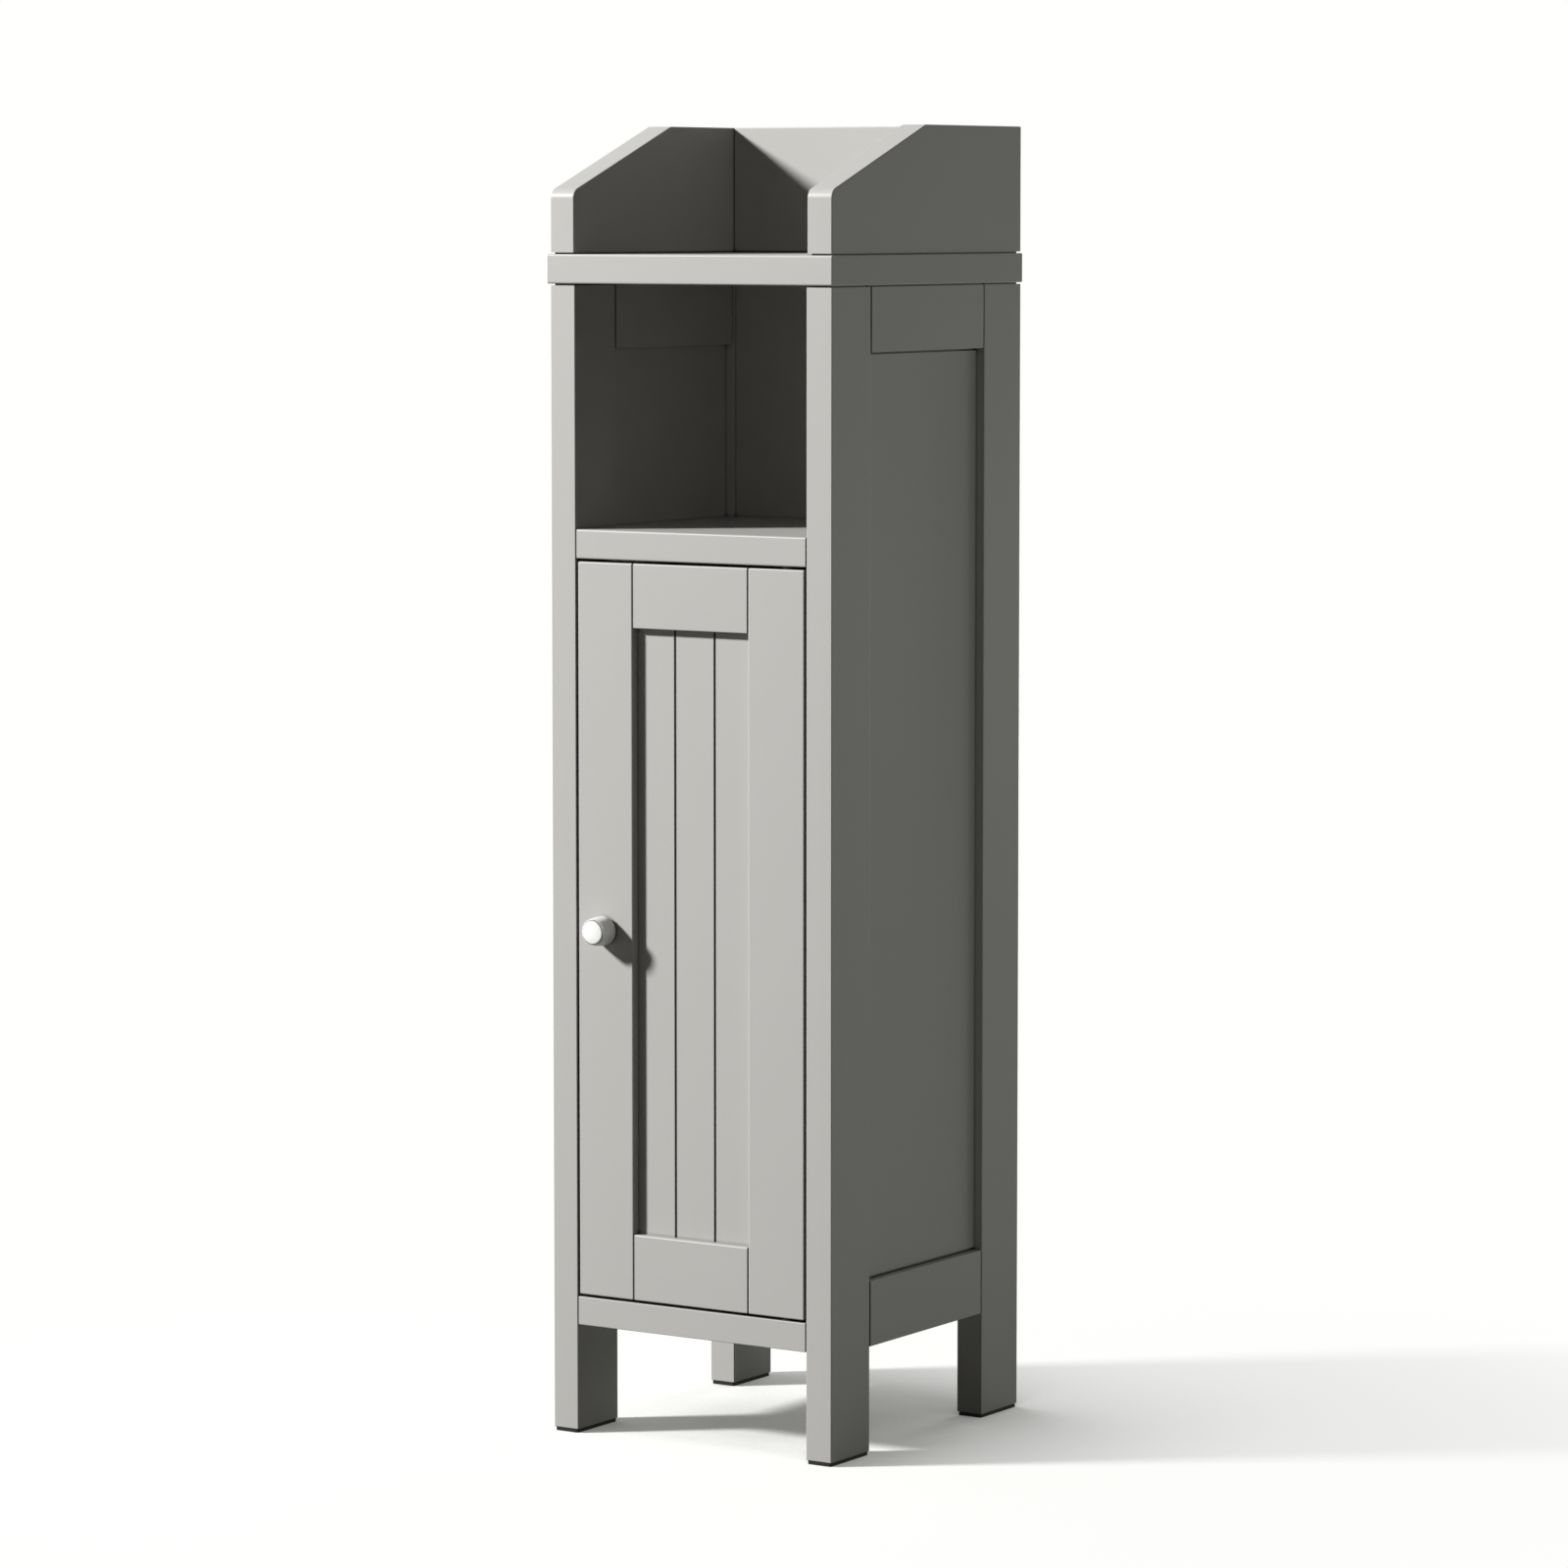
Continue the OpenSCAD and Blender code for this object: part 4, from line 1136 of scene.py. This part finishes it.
def cam_bolts():
    """Bolts with a ball-shaped head in the cam, a waist, a collar and a coarse thread."""
    r, thread, overlap, pitch = mm(2.5, 8, 0.2, 2)
    parts = []
    for head, way, length, head_r in screw_run("cam_bolts", across=2):
        collar = thread - length
        profile = [(0, 0), (head_r * 0.7, -0.2 * MM), (head_r, -1.2 * MM), (head_r, -2.8 * MM),
                   (r * 0.8, -4 * MM), (r * 0.8, collar + 1.5 * MM), (r, collar + 1.2 * MM),
                   (r, collar), (0, collar)]
        part = joined([lathe(profile),
                       threaded_shank(length - thread - overlap, length, r, pitch, core=0.72)])
        parts.append(moved(part, turned_to(way, head)))
    piece("steel", "cam_bolts", joined(parts), zinc_steel, smooth_to=32)


# --- hinge, catch, brackets


def bush_hole(node):
    low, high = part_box(node)
    spare = 0.4 * MM
    z0, z1 = (low.z, high.z + spare) if node == "upper_bush" else (low.z - spare, high.z)
    return [lathe(rod(SLEEVE_R + FIT, z0, z1), "Z", middle(low, high, z=0))]


def turned_piece(kind, node, profile, steps, material):
    """Turned piece of the hinge, whose profile runs up, or down on a lower one."""
    low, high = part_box(node)
    start, way = (high.z, -1) if "lower" in node else (low.z, 1)
    bm = lathe([(r, start + way * along) for r, along in profile], "Z", middle(low, high, z=0),
               steps)
    piece(kind, node, bm, material, smooth_to=32)


def bushes():
    """Flanged bushes with a lead-in at the mouth of the bore."""
    bore, flange, edge, lead = mm(2.55, 1, 0.1, 0.3)
    for node in ("upper_bush", "lower_bush"):
        low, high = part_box(node)
        flange_r, depth = (high.x - low.x) / 2, high.z - low.z
        profile = [(bore + lead, 0), (flange_r - lead, 0), (flange_r, lead),
                   (flange_r, flange - edge), (flange_r - edge, flange), (SLEEVE_R, flange),
                   (SLEEVE_R, depth - 0.6 * MM), (SLEEVE_R - 0.5 * MM, depth), (bore, depth),
                   (bore, lead)]
        turned_piece("moulded", node, profile, 48, nylon)


def hinge_pins():
    """Pins with a turned collar and a rounded end."""
    r, chamfer, inside, collar, edge, end = mm(2.5, 0.5, 22, 1, 0.2, 1.2)
    for node in ("door_upper_pin", "door_lower_pin"):
        low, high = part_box(node)
        collar_r, length = (high.x - low.x) / 2, high.z - low.z
        profile = [(0, 0), (r - chamfer, 0), (r, chamfer), (r, inside),
                   (collar_r - edge, inside), (collar_r, inside + edge),
                   (collar_r, inside + collar - edge), (collar_r - edge, inside + collar),
                   (r, inside + collar), *arc(r - end, length - end, end, 0, 90), (0, length)]
        turned_piece("turned", node, profile, 40, pin_steel)


def catch_body():
    """Moulded body with two ears and a pocket for the magnet."""
    low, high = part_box("catch_body")
    ear_t, inset, lug, corner, rim, soft, play = mm(2.4, 1, 9, 3, 0.4, 1, 0.1)
    trunk = block((low.x + lug, low.y, low.z), (high.x - lug, high.y, high.z))
    weigh(trunk, soft, lambda e: sharp(e) and all(v.co.z < high.z - NEAR for v in e.verts))
    ears = plate((low.x, low.y + inset, high.x, high.y - inset), corner, "Z",
                 high.z - ear_t, high.z, rim)
    pocket = grown(*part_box("catch_magnet"), (play,) * 3)
    piece("moulded", "catch_body", carved(ears, [trunk], "UNION"), catch_plastic,
          cuts=[block((pocket[0].x, low.y - BEYOND, pocket[0].z), pocket[1]),
                *screw_holes("catch_screws")])


def catch_magnet():
    """Magnet set back between two steel keepers."""
    low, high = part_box("catch_magnet")
    keeper, seam, setback, soft = mm(1.6, 0.02, 0.4, 0.2)
    layers = []
    for z0, z1, back in ((low.z, low.z + keeper, 0),
                         (low.z + keeper + seam, high.z - keeper - seam, setback),
                         (high.z - keeper, high.z, 0)):
        layer = block((low.x, low.y + back, z0), (high.x, high.y, z1))
        for face in layer.faces:
            face.material_index = 0 if back else 1
        weigh(layer, soft, sharp)
        layers.append(layer)
    piece("ferrite", "catch_magnet", joined(layers), magnet, zinc_steel)


def strike_plate():
    low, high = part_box("strike_plate")
    corner, rim = mm(2.5, 0.3)
    bm = plate((low.x, low.z, high.x, high.z), corner, "Y", low.y, high.y, rim)
    piece("pressed", "strike_plate", bm, zinc_steel, cuts=screw_holes("strike_screw"))


def wall_bracket(side):
    """Angle pressed from steel strip, with a round bend, round corners and its holes."""
    node = f"{side}_wall_bracket"
    low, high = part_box(node)
    t, bend, rim = mm(2, 3.2, 0.3)
    corners = [(low.y, low.z), (high.y, low.z), (high.y, high.z), (high.y - t, high.z),
               (high.y - t, low.z + t), (low.y, low.z + t)]
    bm = prism(filleted(corners, {1: bend, 4: bend - t}, 8), "X", low.x, high.x)
    weigh(bm, rim, sharp)

    def tips(edge):
        """The corners of the strip's two ends."""
        a, b = (v.co for v in edge.verts)
        same = [abs(a[k] - b[k]) < NEAR for k in range(3)]
        return same[0] and (same[2] and abs(a.z - high.z) < NEAR
                            or same[1] and abs(a.y - low.y) < NEAR)
    weigh(bm, LARGEST_ROUND, tips)
    wall = MOUNTS["wall_fixing"]
    hole = lathe(rod(wall["dims"]["hole_r_mm"] * MM, high.y - 2 * t, high.y + BEYOND), "Y",
                 middle(low, high, y=0, z=wall["pos_m"][2]), 40)
    piece("pressed", node, bm, zinc_steel,
          cuts=[hole, *screw_holes("bracket_screws", side)], smooth_to=32)


# --- studio


# Share of plain white, painted light that fades the object's cast shadow: by how open the floor is
# to the sky, and by metres from the middle.
OPEN_PAINTED_LIGHT = [(0.22, 0), (0.34, 0.13), (0.6, 0.12), (0.68, 0.22), (0.75, 0.4), (0.82, 0.47),
             (0.94, 0.7), (0.99, 1)]
FAR_FADE = [(0.3, 0.7), (0.54, 0.77), (0.71, 0.83), (1, 1)]
# Painted shade under the object: how much the floor right under it is like the open floor, by how
# open it is to the sky.
UNDER_PAINTED_SHADE = [(0.2, 0), (0.37, 1)]
SKY_REACH = 0.3
FLOOR_HALF = 30


def floor_finish():
    """White floor, clear from below, that keeps the object's shadow; a faint glow and painted
    light lift and fade that shadow, and painted shade darkens the floor right under the object.
    """
    made = Finish("floor_white")
    made.tree.nodes.remove(made.shader)

    def matt(colour):
        return made.node("BsdfDiffuse", {}, {"Color": colour})

    def glow(colour):
        return made.node("Emission", {}, {"Color": colour, "Strength": 1.0})
    sky_seen = made.openness(SKY_REACH, 0, 1)
    way_off = made.place().stretched(1, 1, 0).length()
    fade = made.ramp(OPEN_PAINTED_LIGHT, sky_seen).at_most(made.ramp(FAR_FADE, way_off))
    # Painted light: a faint glow lifts the floor's shadow near the object
    near = made.node("AddShader", {}, {
        0: glow((0.12, 0.122, 0.113)),
        # Painted shade: a darker diffuse colour where the floor is hidden from the sky under the
        # object
        1: made.mixed(made.ramp(UNDER_PAINTED_SHADE, sky_seen), matt((0.45, 0.45, 0.44)),
                      matt((0.86, 0.86, 0.85)))})
    shown = made.mixed(fade, near, glow(BACKGROUND))
    whole = made.mixed(made.seen_straight(), matt((0.16, 0.16, 0.15)), shown)
    below = made.node("NewGeometry", output="Backfacing")
    made.feed(made.tree.nodes["Material Output"].inputs["Surface"],
              made.mixed(below, whole, made.node("BsdfTransparent")))
    made.material.cycles.emission_sampling = "NONE"
    return made.material


def floor():
    bm = bmesh.new()
    bm.faces.new([bm.verts.new((x, y, 0))
                  for x, y in rectangle(-FLOOR_HALF, -FLOOR_HALF, FLOOR_HALF, FLOOR_HALF)])
    made = object_of("studio_floor", bm)
    made.data.materials.append(floor_finish())


def sky():
    """Dim soft light, which the camera and mirrors see as white."""
    world = bpy.data.worlds.new("studio_sky")
    bpy.context.scene.world = world
    world.use_nodes = True
    made = Nodes(world.node_tree)
    made.tree.nodes.remove(made.tree.nodes["Background"])
    light, shown = (made.node("Background", {}, {"Color": colour, "Strength": strength})
                    for colour, strength in (((0.97, 1, 0.92), studio().sky), (BACKGROUND, 1)))
    made.feed(made.tree.nodes["World Output"].inputs["Surface"],
              made.mixed(made.seen_straight(), light, shown))


def lamp(name, way, distance, size, watts, colour, bounces=None):
    """Round lamp that shines a way through the middle of the object."""
    data = bpy.data.lights.new(name, "AREA")
    data.shape = "DISK"
    data.size = size
    data.energy = watts
    data.color = colour
    if bounces is not None:
        data.cycles.max_bounces = bounces
    made = placed(name, data)
    way = Vector(way).normalized()
    made.location = middle(*CAD_BOX) - way * distance
    made.rotation_mode = "QUATERNION"
    made.rotation_quaternion = way.to_track_quat("-Z", "Y")
    made.visible_camera = False


def lamps():
    """Fill lights and a key light, part of which doesn't bounce on, to leave insides dark."""
    values = studio()
    key, warm = (values.key_way, values.key_distance, values.key_size), (1, 0.995, 0.985)
    lamp("key_light", *key, values.key_watts, warm)
    lamp("key_direct", *key, values.direct_watts, warm, bounces=0)
    fill = values.fill_distance, values.fill_size
    lamp("side_fill", values.fill_way, *fill, values.side_watts, (0.966, 1, 0.908))
    lamp("rear_fill", -Y, *fill, values.rear_watts, (1, 1, 1))


def camera():
    values = studio()
    data = bpy.data.cameras.new("photo_camera")
    data.sensor_width = 36
    data.lens = values.lens
    data.shift_y = values.shift
    data.clip_end = 200
    made = placed("photo_camera", data)
    made.location = values.camera_place
    made.rotation_euler = (math.pi / 2 - values.camera_tilt, 0, values.camera_turn)
    bpy.context.scene.camera = made


# --- operators


class CABINET_OT_side_frames(bpy.types.Operator):
    """Build the legs, rails and panels of both sides"""
    bl_idname = "cabinet.side_frames"
    bl_label = "Side Frames"

    def execute(self, context):
        for side in SIDES:
            for end in ("front", "back"):
                leg(side, end)
            for level in ("top", "bottom"):
                side_rail(side, level)
            side_panel(side)
        return {"FINISHED"}


class CABINET_OT_boards(bpy.types.Operator):
    """Build the boards, the back panel, the loose shelf and its cleats"""
    bl_idname = "cabinet.boards"
    bl_label = "Boards"

    def execute(self, context):
        board("top_board", "X", screw_holes("top_screws"), nosing=True)
        fixed_shelf()
        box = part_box("bottom_board")
        board("bottom_board", "X", cam_holes(*box) + bush_hole("lower_bush") + end_lines(*box))
        board("loose_shelf", "X", nosing=True)
        board("back_panel", "Z", screw_holes("back_panel_screws"))
        for side in SIDES:
            board(f"{side}_cleat", "Y", screw_holes("cleat_screws", side))
        return {"FINISHED"}


class CABINET_OT_tray(bpy.types.Operator):
    """Build the sloping side guards and the back guard"""
    bl_idname = "cabinet.tray"
    bl_label = "Tray Guards"

    def execute(self, context):
        for side in SIDES:
            guard(side)
        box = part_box("back_guard")
        board("back_guard", "X", end_lines(*box) + joint_lines(
            *box, "-Z", ("-Y", "+Y"), joinery().seat_line))
        return {"FINISHED"}


class CABINET_OT_door(bpy.types.Operator):
    """Build the door's frame and its tongue-and-groove boards"""
    bl_idname = "cabinet.door"
    bl_label = "Door"

    def execute(self, context):
        for side in SIDES:
            door_stile(side)
        for level in ("top", "bottom"):
            door_rail(level)
        for place in ("left", "middle", "right"):
            door_board(place)
        return {"FINISHED"}


class CABINET_OT_knob(bpy.types.Operator):
    """Turn the knob"""
    bl_idname = "cabinet.knob"
    bl_label = "Knob"

    def execute(self, context):
        knob()
        return {"FINISHED"}


class CABINET_OT_feet(bpy.types.Operator):
    """Build the foot pads and their nails"""
    bl_idname = "cabinet.feet"
    bl_label = "Foot Pads"

    def execute(self, context):
        for end in ("front", "back"):
            for side in SIDES:
                foot_pad_under(f"{end}_{side}")
        pad_nails()
        return {"FINISHED"}


class CABINET_OT_hinge(bpy.types.Operator):
    """Build the pivot pins and their bushes"""
    bl_idname = "cabinet.hinge"
    bl_label = "Hinge"

    def execute(self, context):
        bushes()
        hinge_pins()
        return {"FINISHED"}


class CABINET_OT_catch(bpy.types.Operator):
    """Build the magnetic catch and its strike plate"""
    bl_idname = "cabinet.catch"
    bl_label = "Catch"

    def execute(self, context):
        catch_body()
        catch_magnet()
        strike_plate()
        return {"FINISHED"}


class CABINET_OT_wall_brackets(bpy.types.Operator):
    """Build the two wall brackets"""
    bl_idname = "cabinet.wall_brackets"
    bl_label = "Wall Brackets"

    def execute(self, context):
        for side in SIDES:
            wall_bracket(side)
        return {"FINISHED"}


class CABINET_OT_screws(bpy.types.Operator):
    """Build every screw, with its thread and driver recess"""
    bl_idname = "cabinet.screws"
    bl_label = "Screws"

    def execute(self, context):
        for node in ("top_screws", "back_panel_screws", "cleat_screws", "catch_screws",
                     "bracket_screws", "strike_screw"):
            screws(node)
        screws("knob_screw", pitch=0.7 * MM)
        return {"FINISHED"}


class CABINET_OT_fixings(bpy.types.Operator):
    """Build the dowels, cam locks and cam bolts"""
    bl_idname = "cabinet.fixings"
    bl_label = "Dowels and Cam Locks"

    def execute(self, context):
        dowels("frame_dowels")
        dowels("guard_dowels")
        cam_locks()
        cam_bolts()
        return {"FINISHED"}


class CABINET_OT_studio(bpy.types.Operator):
    """Set up the floor, the light and the camera"""
    bl_idname = "cabinet.studio"
    bl_label = "Studio"

    def execute(self, context):
        context.scene.view_settings.view_transform = "Standard"
        floor()
        sky()
        lamps()
        camera()
        return {"FINISHED"}


STEPS = (
    CABINET_OT_side_frames, CABINET_OT_boards, CABINET_OT_tray, CABINET_OT_door,
    CABINET_OT_knob, CABINET_OT_feet, CABINET_OT_hinge, CABINET_OT_catch,
    CABINET_OT_wall_brackets, CABINET_OT_screws, CABINET_OT_fixings, CABINET_OT_studio,
)


class CABINET_PT_sidebar(bpy.types.Panel):
    """Lists the cabinet's steps and settings"""
    bl_label = "Cabinet"
    bl_idname = "CABINET_PT_sidebar"
    bl_space_type = "VIEW_3D"
    bl_region_type = "UI"
    bl_category = "Cabinet"

    def draw(self, context):
        layout = self.layout
        for step in STEPS:
            layout.operator(step.bl_idname)
        for group in (joinery(), finishes(), studio()):
            column = layout.column()
            for key in group.__annotations__:
                column.prop(group, key)


GROUPS = {"cabinet_joinery": CabinetJoinery, "cabinet_finishes": CabinetFinishes,
          "cabinet_studio": CabinetStudio}


def register():
    for name, group in GROUPS.items():
        bpy.utils.register_class(group)
        setattr(bpy.types.Scene, name, PointerProperty(type=group))
    for step in (*STEPS, CABINET_PT_sidebar):
        bpy.utils.register_class(step)


def unregister():
    for step in reversed((*STEPS, CABINET_PT_sidebar)):
        bpy.utils.unregister_class(step)
    for name, group in reversed(GROUPS.items()):
        delattr(bpy.types.Scene, name)
        bpy.utils.unregister_class(group)


def main():
    register()
    for step in STEPS:
        group, name = step.bl_idname.split(".")
        getattr(getattr(bpy.ops, group), name)()


if __name__ == "__main__":
    main()
